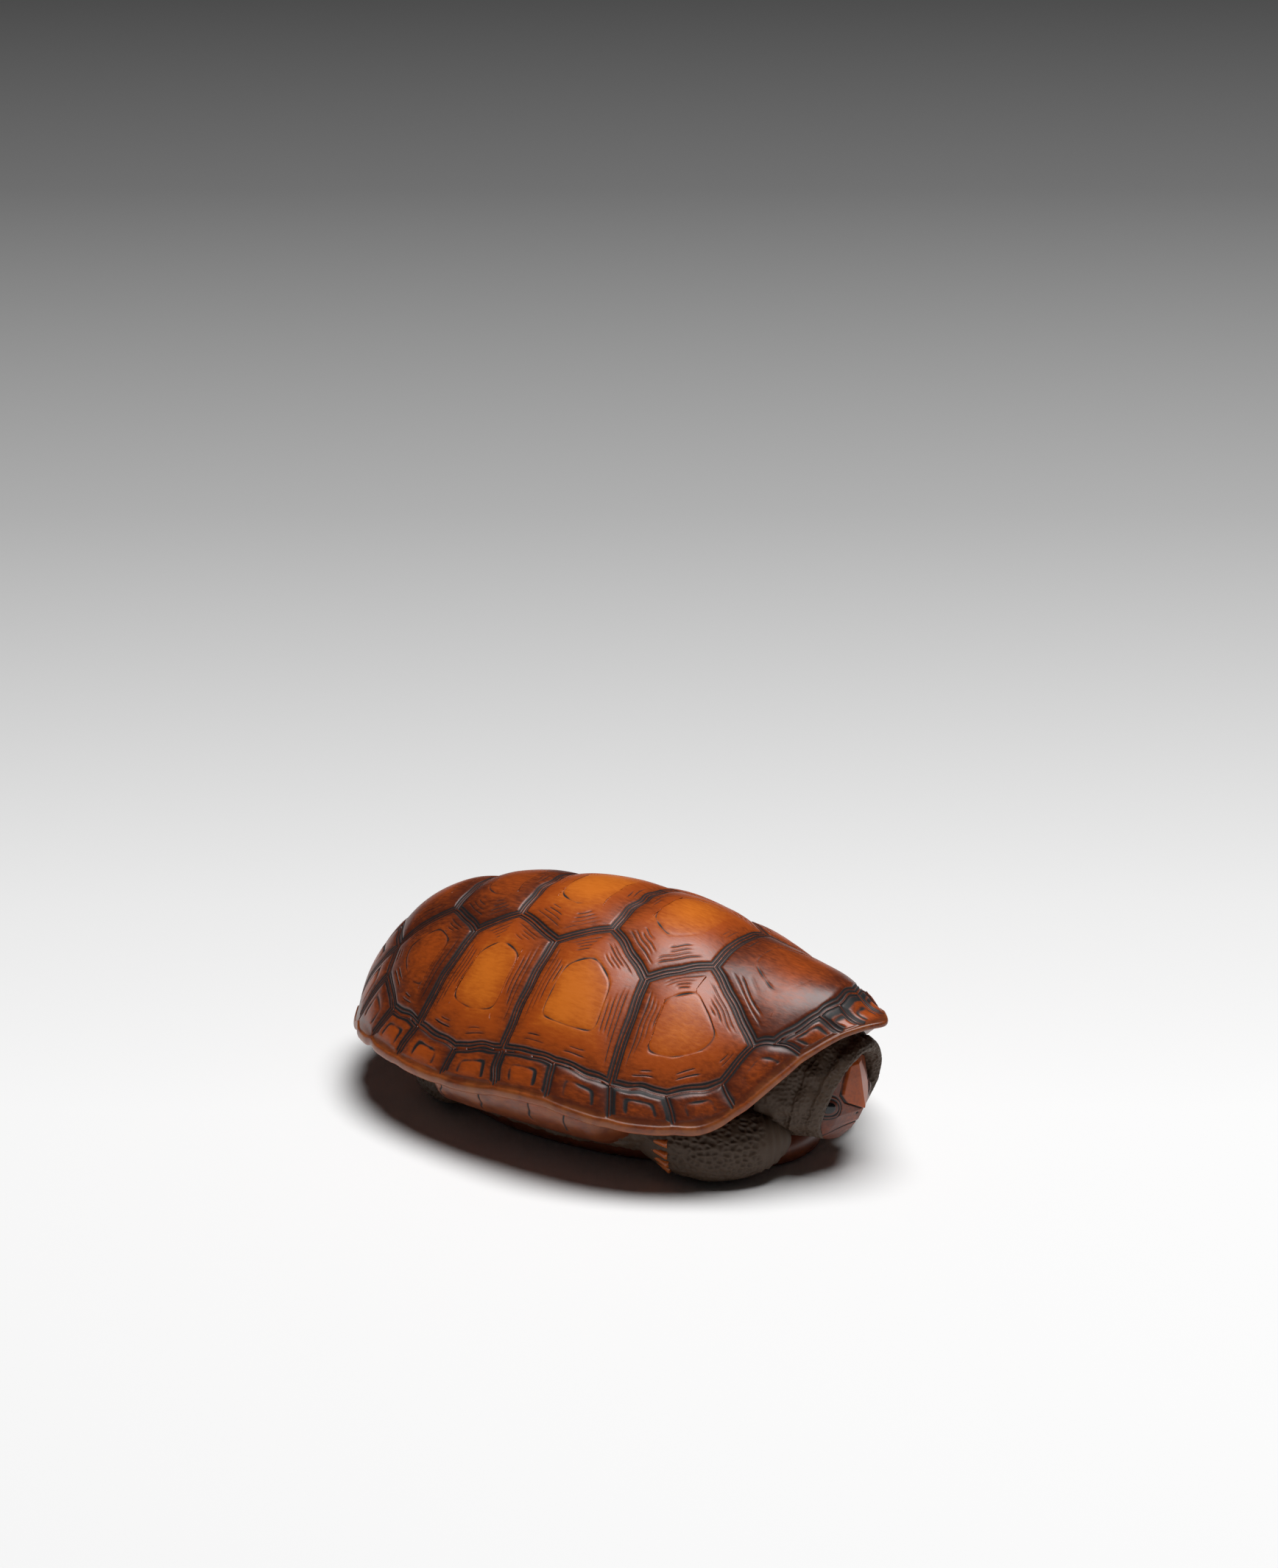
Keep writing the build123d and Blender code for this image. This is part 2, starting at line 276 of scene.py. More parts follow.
nostril_size = (0.13, 0.1)
neck_front = 15.0
neck_back = 14.5
neck_share = 0.96
face_mesh = (96, 280)
hood_mesh = (110, 420)
eye_mesh = (22, 40)
eye_half = (0.6, 0.52)
eye_bulge = 0.2
eye_sink = 0.14

# Belly plate and bridges
belly_low, belly_high = node_box("plastron")
belly_edge = 1.0
belly_width_share = 0.84
belly_seams = (0.62, 0.3, -0.05, -0.42, -0.7)
cord_holes = ((3.5, 1.7), (-6.5, 2.3))
bridge_ends = (-11.2, 9.0)
bridge_foot = 2.2
bridge_depth = 4.9
bridge_marks = (-7.9, -3.8, 1.1, 4.3)
bridge_inset = 0.28
bridge_curve = 2.3
bridge_fade = (3.0, 3.4)
bridge_tuck = 2.6
bridge_thickness = 2.5
bridge_mesh = (260, 44)
belly_rows = 90
belly_points = 420
belly_seam_depth = 0.16
belly_seam_spread = 1.6
belly_seam_lean = 0.08
belly_seam_wavers = (0.12, 0.1)
belly_seam_end = 0.6
belly_wear = 0.15
belly_wear_depth = 0.8
# Painted shade: the belly plate's low tone makes it near black, standing in for the shadow beneath the turtle
belly_shaded_values = {"tone": 0.1, "heart": 0.5}
bridge_uneven = 0.05
bridge_mark_lean = 0.9
bridge_mark_curve = 1.5
bridge_mark_waver = 0.1
bridge_mark_range = (0.45, 0.6)
bridge_mark_depth = 0.12
bridge_wear = 0.7
bridge_wear_curve = 1.5
# Tone at the top of a bridge; it falls to black towards the foot as painted shade
bridge_tone = 0.36
bridge_heart = 0.7
drill_sides = 64

# Finishes: the size of each pattern in millimetres, how strongly it shows, and where one colour turns to
# the next
grain_turn = (0.3, 0.2, 0.7)
grain_stretch = (0.28, 1.0, 1.0)
wood_cloud = (4.5, 0.5)
wood_streak = (0.9, 0.18)
wood_fleck = (0.22, 0.55)
wood_grime = (0.35, 0.2)
wood_rub_size = 1.1
heart_lift = (0.34, 1.2)
warm_range = (0.05, 0.62)
bright_range = (0.55, 1.15)
stain_range = (0.12, 0.62)
rub_range = (0.3, 0.65)
wood_rub = (0.15, 0.9)
wood_roughness = 0.27
fleck_roughness = 0.14
stain_roughness = 0.28
wood_bump = {"Strength": 0.25, "Distance": 0.03 * MM}
skin_speck_size = 0.3
skin_cloud_size = 2.2
skin_rub_size = 0.8
skin_speck = (0.35, 1.0)
skin_cloud = (0.4, 1.0)
skin_cloud_range = (0.3, 0.6)
skin_rub = (0.1, 1.0)
skin_roughness = 0.38
speck_roughness = 0.25
skin_bump = {"Strength": 0.35, "Distance": 0.05 * MM}
horn_cloud_size = 0.4
horn_cloud_range = (0.45, 0.75)
horn_cloud = (0.0, 0.5)
horn_roughness = 0.08
horn_cloud_roughness = 0.1

# Stage: floor, lamp and camera, in metres and millimetres as marked
floor_half_m = 3.0
# The floor's colour fades from near white by the camera to dark grey behind it: painted shade for the light
# falling off towards the back
floor_fade_m = 0.36
floor_steps = ((0.0, 0.96), (0.12, 0.85), (0.4, 0.46), (0.7, 0.19), (1.0, 0.06))
lamp_place_m = (0.09, 0.05, 0.75)
lamp_target_m = (0, 0, 0.01)
lamp_size_m = 0.55
lamp_power = 6.4
world_strength = 0.015
camera_lens = 174.4
camera_sensor = 36
camera_target = (-0.3, 0, 8.2)
camera_shift = (1.45, 18.1)

# Carved lines, by the kind of side they run along: how many strokes, and where they start and end
stroke_plan = {
    "vertebral": {"ridge": (4, 0.04, 0.98), "across": (2, 0.3, 0.7)},
    "costal": {"rib": (4, 0.03, 0.97), "ridge": (4, 0.08, 0.9), "margin": (2, 0.1, 0.75)},
    "marginal": {},
}
heart_line_strength = {
    "vertebral": {"ridge": 0.9, "across": 0.4, "margin": 0.3},
    "costal": {"rib": 0.75, "ridge": 0.75, "margin": 0.55},
    "marginal": {"seam": 0.8, "margin": 0.75, "rim": 0.0},
}
front_heart_share = 0.15
heart_fade = 0.75
band_rings = (0.0, 0.065, 0.13, 0.195, 0.28, 0.36, 0.44, 0.52, 0.64, 0.76)
stroke_rings = (0.85, 0.92, 1.0, 1.1, 1.2, 1.28, 1.36, 1.46, 1.56, 1.64, 1.72, 1.82, 1.92, 2.0, 2.1, 2.2)
band_grooves = (0.13, 0.36)
stroke_depths = (0.92, 1.28, 1.64, 2.0)
stroke_stagger = 0.09
groove_half_width = 0.12
band_strength = (0.95, 0.1)
band_waver_length = 3.0
heart_strength = (0.75, 0.4)
heart_waver_length = 3.4
heart_blend_share = 0.03
dome_power = 3.0
dome_edge = 0.01
dome_start = 0.4
marginal_swell = 0.45
deepest_ring = 2.2
room_share = 0.8
reach_share = 0.56
waver_fade = 1.2
drift = 0.1
drift_range = (0.5, 1.2)
drift_length = 3.6
ring_gap = 0.2
heart_ring_gap = 0.28
line_gap = 0.12
heart_size_share = 0.5
marginal_heart_share = 0.47
heart_round_share = 0.035
marginal_lean_share = 0.42
heart_line_spread = 0.14
marginal_line_spread = 0.26
stroke_shift = 0.08
stroke_fade = (0.12, 0.2)
stroke_force = (0.5, 0.85)
rim_wear = 0.6
rim_wear_depth = 0.2
stroke_half_width = 0.075


class ShellCarving(bpy.types.PropertyGroup):
    """How deep the shell is carved."""

    pillow_height: FloatProperty(
        name="Pillow height", description="How far a scute swells between its seams", default=0.34 * MM,
        min=0.0, precision=5, unit="LENGTH")
    line_depth: FloatProperty(
        name="Line depth", description="Depth of the carved seams and strokes", default=0.11 * MM,
        min=0.0, precision=5, unit="LENGTH")
    chatter: FloatProperty(
        name="Tool chatter", description="Unevenness left by the knife", default=0.03 * MM,
        min=0.0, precision=6, unit="LENGTH")


class SkinCarving(bpy.types.PropertyGroup):
    """How the skin is pitted and wrinkled."""

    cell_size: FloatProperty(
        name="Scale size", description="Distance between the pits on the limbs", default=0.55 * MM,
        min=0.0001, precision=5, unit="LENGTH")
    pit_depth: FloatProperty(
        name="Pit depth", description="Depth of the pits between the scale walls", default=0.17 * MM,
        min=0.0, precision=5, unit="LENGTH")
    claw_length: FloatProperty(
        name="Claw length", description="Length of a claw", default=3.2 * MM,
        min=0.0, precision=5, unit="LENGTH")
    claw_radius: FloatProperty(
        name="Claw radius", description="Radius of a claw at its root", default=0.34 * MM,
        min=0.0, precision=5, unit="LENGTH")


class WoodFinish(bpy.types.PropertyGroup):
    """Colours of the wood and its stain."""

    bright: FloatVectorProperty(
        name="Bright wood", description="Wood on the middles of the scutes", subtype="COLOR", size=3,
        default=(0.68, 0.17, 0.014), min=0.0, max=1.0)
    warm: FloatVectorProperty(
        name="Warm wood", description="Wood on most of the shell", subtype="COLOR", size=3,
        default=(0.4, 0.07, 0.007), min=0.0, max=1.0)
    # The deep colour also carries the painted shade on the belly plate and at the bridges' feet
    deep: FloatVectorProperty(
        name="Deep wood", description="Stained wood along the margins", subtype="COLOR", size=3,
        default=(0.09, 0.017, 0.006), min=0.0, max=1.0)
    # The stain colour is also the painted shade on the hind legs, whose low tone leaves them near black
    stain: FloatVectorProperty(
        name="Stain", description="Stain in the carved lines and on the skin", subtype="COLOR", size=3,
        default=(0.005, 0.0052, 0.006), min=0.0, max=1.0)
    worn: FloatVectorProperty(
        name="Worn edge", description="Wood rubbed bare on the edges", subtype="COLOR", size=3,
        default=(0.34, 0.1, 0.022), min=0.0, max=1.0)
    dry: FloatVectorProperty(
        name="Dry stain", description="Greyer stain on the raised scale walls", subtype="COLOR", size=3,
        default=(0.1, 0.12, 0.14), min=0.0, max=1.0)


class StudioStage(bpy.types.PropertyGroup):
    """Where the camera stands."""

    azimuth: FloatProperty(
        name="Azimuth", description="Turn of the camera from the turtle's right side", subtype="ANGLE",
        default=math.radians(33))
    elevation: FloatProperty(
        name="Elevation", description="Height of the camera above the table, as an angle", subtype="ANGLE",
        default=math.radians(23))
    distance: FloatProperty(
        name="Distance", description="From the camera to the turtle", default=0.6, min=0.1, unit="LENGTH")


# Shell surface
def ease(value, low, high):
    """0 below low, 1 above high and smooth between."""
    share = np.clip((value - low) / (high - low), 0, 1)
    return share * share * (3 - 2 * share)


def outline_flare(share):
    """How much wider than an even oval the shell is, with its front drawn to a beak."""
    flare = 1 + front_flare * share + end_flare * share ** 2
    return flare * (1 - beak_pinch * ease(share, beak_start, beak_end))


def rim_half_width(share):
    """Half width of the shell at a share of its half length."""
    power = np.where(share > 0, front_outline_power, rear_outline_power)
    width = shell_width * outline_flare(share) * np.maximum(1 - share ** 2, 0) ** power
    blunt = beak_radius * ease(share, beak_start, beak_end)
    return np.sqrt(width ** 2 + 2 * blunt * width)


def rear_drop(share):
    """How far the shell sinks towards the tail."""
    return tail_drop * np.maximum(0, (-share - tail_start) / (1 - tail_start)) ** 2


def rim_height(share):
    """Height of the rim at a share of the half length."""
    middle = np.exp(-((share - bridge_rise_place) / bridge_rise_width) ** 2)
    front = ease(share, nuchal_start, nuchal_end)
    return rim_level + nuchal_rise * front + bridge_rise * middle - rear_drop(share)


def ridge_height(share):
    """Height of the ridge at a share of the half length, hollowed towards the beak."""
    front = np.maximum(0, (share - ridge_start) / (1 - ridge_start)) ** 2
    power = np.where(share > 0, front_dome_power, rear_dome_power)
    rise = dome_height * (1 - dome_lean * share) * (1 - share ** 2) ** power
    full = ridge_level + ridge_rise * front - rear_drop(share) + rise
    hollow = beak_hollow * ease(share, hollow_start, hollow_end)
    return full + (rim_height(share) - full) * hollow


def shell_height(x, y):
    """Height of the dome over a place in plan."""
    share = np.clip(x / shell_length, -shell_end, shell_end)
    across = y / rim_half_width(share)
    rim = rim_height(share)
    return rim + (ridge_height(share) - rim) * (1 - np.minimum(across ** 2, 2.0))


def shell_slopes(x, y, step=0.02):
    """Slopes of the dome along X and Y."""
    along = (shell_height(x + step, y) - shell_height(x - step, y)) / (2 * step)
    across = (shell_height(x, y + step) - shell_height(x, y - step)) / (2 * step)
    return along, across


def unit(vectors):
    """The same directions, one long."""
    return vectors / np.linalg.norm(vectors, axis=-1, keepdims=True)


def shell_points(plan):
    """Points on the dome and its outward directions, over places in plan."""
    x, y = plan[..., 0], plan[..., 1]
    along, across = shell_slopes(x, y)
    points = np.stack([x, y, shell_height(x, y)], axis=-1)
    outward = unit(np.stack([-along, -across, np.ones_like(x)], axis=-1))
    return points, outward


def ripple(places, wavelength, seed):
    """Smooth unevenness of about -1 to 1 that only depends on the place."""
    chance = np.random.default_rng(seed)
    total = np.zeros(places.shape[:-1])
    for _ in range(7):
        direction = chance.normal(size=places.shape[-1])
        direction *= 2 * math.pi * chance.uniform(0.6, 1.5) / (wavelength * np.linalg.norm(direction))
        total += np.sin(places @ direction + chance.uniform(0, 2 * math.pi))
    return total / 3.5


def smooth_loop(loop, share):
    """A closed row of points, rounded over a share of its length."""
    count = len(loop)
    offsets = np.arange(count)
    offsets = np.minimum(offsets, count - offsets)
    weights = np.exp(-0.5 * (offsets / (share * count)) ** 2)
    weights /= weights.sum()
    return np.real(np.fft.ifft(np.fft.fft(loop, axis=0) * np.fft.fft(weights)[:, None], axis=0))


# Seams, each sampled once so that neighbouring scutes share its points
def rim_place(angle, inset):
    """A place on the rim in plan, moved inwards; angles are positive on the left."""
    def place(turn):
        share = np.cos(turn)
        return np.stack([shell_length * share, np.sign(np.sin(turn)) * rim_half_width(share)], axis=-1)

    tangent = unit(place(angle + 0.001) - place(angle - 0.001))
    outward = np.stack([tangent[..., 1], -tangent[..., 0]], axis=-1)
    return place(angle) - outward * np.asarray(inset)[..., None]


def corner_place(corner):
    """Place of a seam's end in plan."""
    name, side, on_rim = corner
    if on_rim:
        return rim_place(side * math.acos(rim_shares[name]), lip_inset + notch_depth(rim_shares[name]))
    along, across = junction_shares[name]
    return np.array([along * shell_length, side * across * shell_width])


def notch_depth(share):
    """Depth of the rim's notch at a seam; the rear rim is scalloped."""
    return rim_notch + rear_notch * ease(-share, *rear_notch_range)


def rim_points(start, end):
    """The rim between two seams, with a small notch at each."""
    first = start[1] * math.acos(rim_shares[start[0]])
    last = end[1] * math.acos(rim_shares[end[0]])
    if start[1] != end[1] and rim_shares[start[0]] < 0:
        last -= 2 * math.pi * end[1]
    fine = np.linspace(first, last, rim_samples)
    line = rim_place(fine, np.full(rim_samples, lip_inset))
    length = np.concatenate([[0], np.cumsum(np.linalg.norm(np.diff(line, axis=0), axis=1))])
    count = max(6, round(length[-1] / seam_spacing))
    run = np.linspace(0, length[-1], count + 1)
    notch = notch_depth(rim_shares[start[0]]) * np.exp(-(run / rim_notch_width) ** 2)
    notch += notch_depth(rim_shares[end[0]]) * np.exp(-((length[-1] - run) / rim_notch_width) ** 2)
    line = rim_place(np.interp(run, length, fine), lip_inset + notch)
    line[0], line[-1] = corner_place(start), corner_place(end)
    return line


seam_store = {}


def seam_points(start, end):
    """Places along the seam from one corner to another, with a slight waver of the hand."""
    if (end, start) in seam_store:
        return seam_store[(end, start)][::-1]
    if (start, end) not in seam_store:
        if start[2] and end[2]:
            line = rim_points(start, end)
        else:
            first, last = corner_place(start), corner_place(end)
            middle = (first + last) / 2
            slopes = shell_slopes(middle[0], middle[1])
            run = last - first
            rise = run @ np.array(slopes)
            count = max(6, round(math.hypot(run[0], run[1], rise) / seam_spacing))
            share = np.linspace(0, 1, count + 1)[:, None]
            line = first + run * share
            sideways = np.array([-run[1], run[0]]) / np.linalg.norm(run)
            mirrored = line * np.array([1, np.sign(middle[1]) or 1])
            waver = seam_waver * np.sin(math.pi * share)
            line = line + sideways * (waver * ripple(mirrored, *ripples["seam"])[:, None])
            line[0], line[-1] = first, last
        seam_store[(start, end)] = line
    return seam_store[(start, end)]


def side_kind(start, end):
    """What a side of a scute runs along."""
    if start[2] and end[2]:
        return "rim"
    if start[2] or end[2]:
        return "seam"
    if start[0] in margin_order and end[0] in margin_order:
        return "margin"
    if start[0] == end[0]:
        return "across"
    if start[0] in ridge_names and end[0] in ridge_names:
        return "ridge"
    return "rib"


class Sheet:
    """Rows of points joined into one surface, with the carving's values at each point."""

    names = ("pillow", "cut", "heart", "tone", "wear")

    def __init__(self):
        self.points, self.outward, self.values, self.faces = [], [], [], []
        self.count = 0

    def keep(self, points, outward, values):
        """Stores points with their directions and values."""
        self.points.append(points.reshape(-1, 3))
        self.outward.append(outward.reshape(-1, 3))
        self.values.append(values.reshape(-1, len(self.names)))
        self.count += len(self.points[-1])

    def add(self, points, values, outward=None, closed=False, first=None, last=None):
        """Adds rows of points; first and last are single points that close the ends."""
        rows, columns = points.shape[:2]
        index = self.count + np.arange(rows * columns).reshape(rows, columns)
        around = np.roll(index, -1, axis=1) if closed else index[:, 1:]
        here = index if closed else index[:, :-1]
        quads = np.stack([here[:-1], around[:-1], around[1:], here[1:]], axis=-1).reshape(-1, 4)
        self.faces += quads.tolist()
        outward = np.zeros_like(points) if outward is None else outward
        grid = np.zeros((rows, columns, len(self.names)))
        for key, value in values.items():
            grid[..., self.names.index(key)] = value
        self.keep(points, outward, grid)
        for spot, row in ((first, 0), (last, -1)):
            if spot is None:
                continue
            fan = np.stack([here[row], around[row], np.full(len(around[row]), self.count)], axis=-1)
            self.faces += fan.tolist()
            self.keep(np.asarray(spot), outward[row].mean(axis=0), grid[row].mean(axis=0))

    def mesh(self, name):
        """The surface as a mesh in metres, with its attributes."""
        made = bpy.data.meshes.new(name)
        made.from_pydata((np.concatenate(self.points) * MM).tolist(), [], self.faces)
        values = np.concatenate(self.values).astype(np.float32)
        for column, key in enumerate(self.names):
            layer = made.attributes.new(key, "FLOAT", "POINT")
            layer.data.foreach_set("value", np.ascontiguousarray(values[:, column]))
        layer = made.attributes.new("outward", "FLOAT_VECTOR", "POINT")
        layer.data.foreach_set("vector", np.concatenate(self.outward).astype(np.float32).ravel())
        return made


def line_profile(distance, half_width=groove_half_width):
    """Depth of a carved line at a distance from its middle."""
    return np.clip(1 - np.abs(distance) / half_width, 0, 1)


def scute_dome(rows, spots, inward):
    """A smooth dome over the places of a scute, 0 along its sides and 1 at its top."""
    reach = np.sum((rows[:, :, None] - spots) * inward, axis=-1)
    lift = np.sum(np.maximum(reach, dome_edge) ** -dome_power, axis=-1) ** (-1 / dome_power)
    share = lift / lift.max()
    return share * (1.5 - 0.5 * share ** 2)


def carve_scute(sheet, corners, tone, kind, seed):
    """Adds one scute: rings of points that follow its border, then its rounded heart, to its middle."""
    places = np.array([corner_place(corner) for corner in corners])
    nexts = np.roll(places, -1, axis=0)
    if np.sum(places[:, 0] * nexts[:, 1] - places[:, 1] * nexts[:, 0]) < 0:
        corners = corners[::-1]
        places = places[::-1]
    count = len(corners)
    lines = [seam_points(corners[i], corners[(i + 1) % count]) for i in range(count)]
    kinds = [side_kind(corners[i], corners[(i + 1) % count]) for i in range(count)]
    border = np.concatenate([line[:-1] for line in lines])
    side = np.concatenate([np.full(len(line) - 1, i) for i, line in enumerate(lines)])
    along = np.concatenate([np.linspace(0, 1, len(line))[:-1] for line in lines])

    # The middle leans to the rim on a marginal, so that its heart line opens there
    middle = border.mean(axis=0)
    if kind == "marginal":
        rim_middle = np.mean([line.mean(axis=0) for line, k in zip(lines, kinds) if k == "rim"], axis=0)
        middle = middle + (rim_middle - middle) * marginal_lean_share
    slope_x, slope_y = shell_slopes(middle[0], middle[1])
    stretch = np.array([[1 + slope_x ** 2, slope_x * slope_y], [slope_x * slope_y, 1 + slope_y ** 2]])
    sizes, axes = np.linalg.eigh(stretch)
    flatten = axes @ np.diag(np.sqrt(sizes)) @ axes.T
    unflatten = np.linalg.inv(flatten)
    local = (border - middle) @ flatten
    spots = (places - middle) @ flatten

    # Offsets inwards from each side
    runs = np.roll(spots, -1, axis=0) - spots
    lengths = np.linalg.norm(runs, axis=1)
    inward = np.stack([-runs[:, 1], runs[:, 0]], axis=1) / lengths[:, None]
    before = np.roll(inward, 1, axis=0)
    mitre = (before + inward) / (1 + np.sum(before * inward, axis=1))[:, None]
    shrink = np.sum((mitre - np.roll(mitre, -1, axis=0)) * runs, axis=1) / lengths
    room = min([length / pull for length, pull in zip(lengths, shrink) if pull > 0.05] + [9.0])
    reach = np.min(np.sum(-spots * inward, axis=1))
    deepest = min(deepest_ring, room_share * room, reach_share * reach)
    rings = [d for d in band_rings + stroke_rings if d <= deepest]
    following = (side + 1) % count
    straight = spots[side] + runs[side] * along[:, None]
    waver = local - straight
    rows, depths = [], []
    for depth in rings:
        start = spots[side] + mitre[side] * depth
        finish = spots[following] + mitre[following] * depth
        row = start + (finish - start) * along[:, None] + waver * max(0.0, 1 - depth / waver_fade)
        if depth > 0:
            wander = drift * ease(depth, *drift_range) * ripple(border, drift_length, seed + 3)
            row = row + inward[side] * wander[:, None]
        rows.append(row)
        depths.append(depth)
    heart_share = marginal_heart_share if kind == "marginal" else heart_size_share
    heart = smooth_loop(straight * heart_share, heart_round_share)
    gap = np.mean(np.linalg.norm(heart - rows[-1], axis=1))
    steps = max(3, round(gap / ring_gap))
    inner = [0.5, 1.0]
    if gap > 0.3:
        inner = list(np.linspace(0, 1, steps + 1)[1:-1]) + [1 - line_gap / gap, 1.0]
    inner = sorted(set(inner))
    outer_row, outer_depth = rows[-1], depths[-1]
    for share in inner:
        rows.append(outer_row + (heart - outer_row) * share)
        depths.append(outer_depth + gap * share)
    heart_index = len(rows) - 1
    span = np.mean(np.linalg.norm(heart, axis=1))
    steps = max(4, round(span / heart_ring_gap))
    for share in [line_gap / span] + list(np.linspace(0, 1, steps + 1)[1:-1]):
        rows.append(heart * (1 - share))
        depths.append(outer_depth + gap + span * share)
    full = outer_depth + gap + span
    rows = np.array(rows)
    depths = np.array(depths)[:, None]

    # Carved lines
    chance = np.random.default_rng(seed)
    cut = np.zeros(rows.shape[:2])
    banded = np.array([0.0 if k == "rim" else 1.0 for k in kinds])[side]
    strength = band_strength[0] + band_strength[1] * ripple(border, band_waver_length, seed + 1)
    for place in band_grooves:
        cut = np.maximum(cut, line_profile(depths - place) * (banded * strength)[None])
    plan = stroke_plan[kind]
    for number, name in enumerate(kinds):
        if name not in plan:
            continue
        strokes, begin, stop = plan[name]
        for step, place in enumerate(stroke_depths[:strokes]):
            shift = chance.uniform(-stroke_shift, stroke_shift)
            low = begin + shift + stroke_stagger * step * chance.uniform(0.2, 1.0)
            high = stop + shift - stroke_stagger * step * chance.uniform(0.4, 1.3)
            force = chance.uniform(*stroke_force)
            begun = ease(along, low, low + stroke_fade[0])
            ended = ease(along, high - stroke_fade[1], high)
            gate = begun * (1 - ended) * (side == number)
            stroke = line_profile(depths - place, stroke_half_width)
            cut = np.maximum(cut, stroke * (gate * force)[None])
    weight = np.array([heart_line_strength[kind][k] for k in kinds])
    if kind == "vertebral":
        ahead = np.array([line[:, 0].mean() for line in lines]) > middle[0]
        weight = np.where(ahead, weight * front_heart_share, weight)
    weight = weight[side][:, None]
    uneven = heart_strength[0] + heart_strength[1] * ripple(border, heart_waver_length, seed + 11)
    weight = smooth_loop(weight, heart_blend_share)[:, 0] * uneven
    spread = marginal_line_spread if kind == "marginal" else heart_line_spread
    heart_line = np.clip(1 - np.abs(depths - depths[heart_index]) / spread, 0, 1) * weight[None]
    cut = np.clip(np.maximum(cut, heart_line), 0, 1)

    swell = marginal_swell if kind == "marginal" else 1.0
    pillow = swell * scute_dome(rows, spots, inward) * ease(depths, 0.0, dome_start)
    core = np.repeat((depths / full) ** heart_fade, len(border), axis=1)
    on_rim = np.array([1.0 if k == "rim" else 0.0 for k in kinds])[side]
    wear = rim_wear * np.exp(-depths / rim_wear_depth) * on_rim[None]
    points, outward = shell_points(middle + rows @ unflatten)
    spot = shell_points(middle)[0]
    values = {"pillow": pillow, "cut": cut, "heart": core, "tone": tone, "wear": wear}
    sheet.add(points, values, outward, closed=True, last=spot)
    if kind != "marginal":
        below = np.array([0.0, 0.0, -scute_thickness])
        sheet.add(points[:1] + below, {"tone": tone}, closed=True, last=spot + below)


def both_sides(names):
    """Corners down the right side and back up the left."""
    right = [(name, RIGHT, False) for name in names]
    left = [(name, LEFT, False) for name in reversed(names)]
    return right + left


def marginal_corners(number, side):
    """Corners of one marginal of a side, counted from the head."""
    first, last = rim_order[number], rim_order[number + 1]
    inner = margin_order[margin_order.index(first):margin_order.index(last) + 1]
    return [(name, side, False) for name in inner] + [(last, side, True), (first, side, True)]


def rim_loop():
    """The whole rim as one closed row of places in plan."""
    corners = [(name, RIGHT, True) for name in rim_order]
    corners += [(name, LEFT, True) for name in reversed(rim_order)]
    lines = [seam_points(corners[i], corners[(i + 1) % len(corners)])[:-1] for i in range(len(corners))]
    return np.concatenate(lines)


def add_lip(sheet):
    """Adds the rolled lip under the rim, and the shell's underside next to it."""
    plan = rim_loop()
    tangent = unit(np.roll(plan, -1, axis=0) - np.roll(plan, 1, axis=0))
    sideways = np.stack([-tangent[:, 1], tangent[:, 0]], axis=1)
    if np.sum(sideways * plan) < 0:
        sideways = -sideways
    top, outward = shell_points(plan)
    rows, directions, wear = [], [], []
    level = np.stack([sideways[:, 0], sideways[:, 1], np.zeros(len(plan))], axis=1)
    upright = np.array([0.0, 0.0, 1.0])
    thinner = (1 - beak_lip_share) * ease(plan[:, 0] / shell_length, beak_start, beak_end)
    thickness = (lip_drop * (1 - thinner))[:, None]
    for turn in np.linspace(0, math.pi, lip_steps):
        out = lip_inset * math.sin(turn)
        drop = thickness * (1 - math.cos(turn)) / 2
        rows.append(top + level * out - upright * drop)
        facing = level * math.sin(turn) + upright * math.cos(turn)
        directions.append(outward if turn == 0 else unit(facing))
        wear.append(lip_wear[0] + lip_wear[1] * math.sin(turn))
    shrink = np.array([*lip_underside_shares, 1.0])
    for share in underside_steps:
        inner = top * (1 - (1 - shrink) * share)
        rows.append(inner - upright * thickness)
        directions.append(np.repeat(-upright[None], len(plan), axis=0))
        wear.append(0.0)
    wear = np.array(wear)[:, None] * (0.75 + 0.25 * ripple(plan, *ripples["lip"]))[None]
    shade = np.array([end_tone] * lip_steps + [underside_tone] * len(underside_steps))[:, None]
    values = {"wear": wear, "tone": shade, "heart": 0.4}
    sheet.add(np.array(rows), values, np.array(directions), closed=True)


# Soft pieces, the head and the belly
def limb_points(form, along, around):
    """Rings of points round a bowed limb of the left side, with along and around as shares of it."""
    start, end = np.array(form["start"]), np.array(form["end"])
    run = end - start
    sideways = np.array([run[1], -run[0]]) / np.linalg.norm(run)
    bow = form["bow"] * np.sin(math.pi * along)
    middle = start + run * along[:, None] + sideways * bow[:, None]
    heading = unit(run + sideways * (form["bow"] * math.pi * np.cos(math.pi * along))[:, None])
    across = np.stack([heading[:, 1], -heading[:, 0]], axis=1)
    girth = np.maximum(np.sin(math.pi * along ** 0.88), 0) ** 0.55
    out = form["half"][0] * girth[:, None] * np.cos(2 * math.pi * around)
    up = form["half"][1] * girth[:, None] * np.sin(2 * math.pi * around)
    plan = middle[:, None] + across[:, None] * out[..., None]
    return np.concatenate([plan, (form["level"] + up)[..., None]], axis=-1)


def even_rows(count):
    """Shares from near 0 to near 1 that crowd towards both ends."""
    return (1 - np.cos(math.pi * np.linspace(0, 1, count + 2)[1:-1])) / 2


def on_side(points, side):
    """The same points on the turtle's left or right."""
    return points * np.array([1.0, side, 1.0])


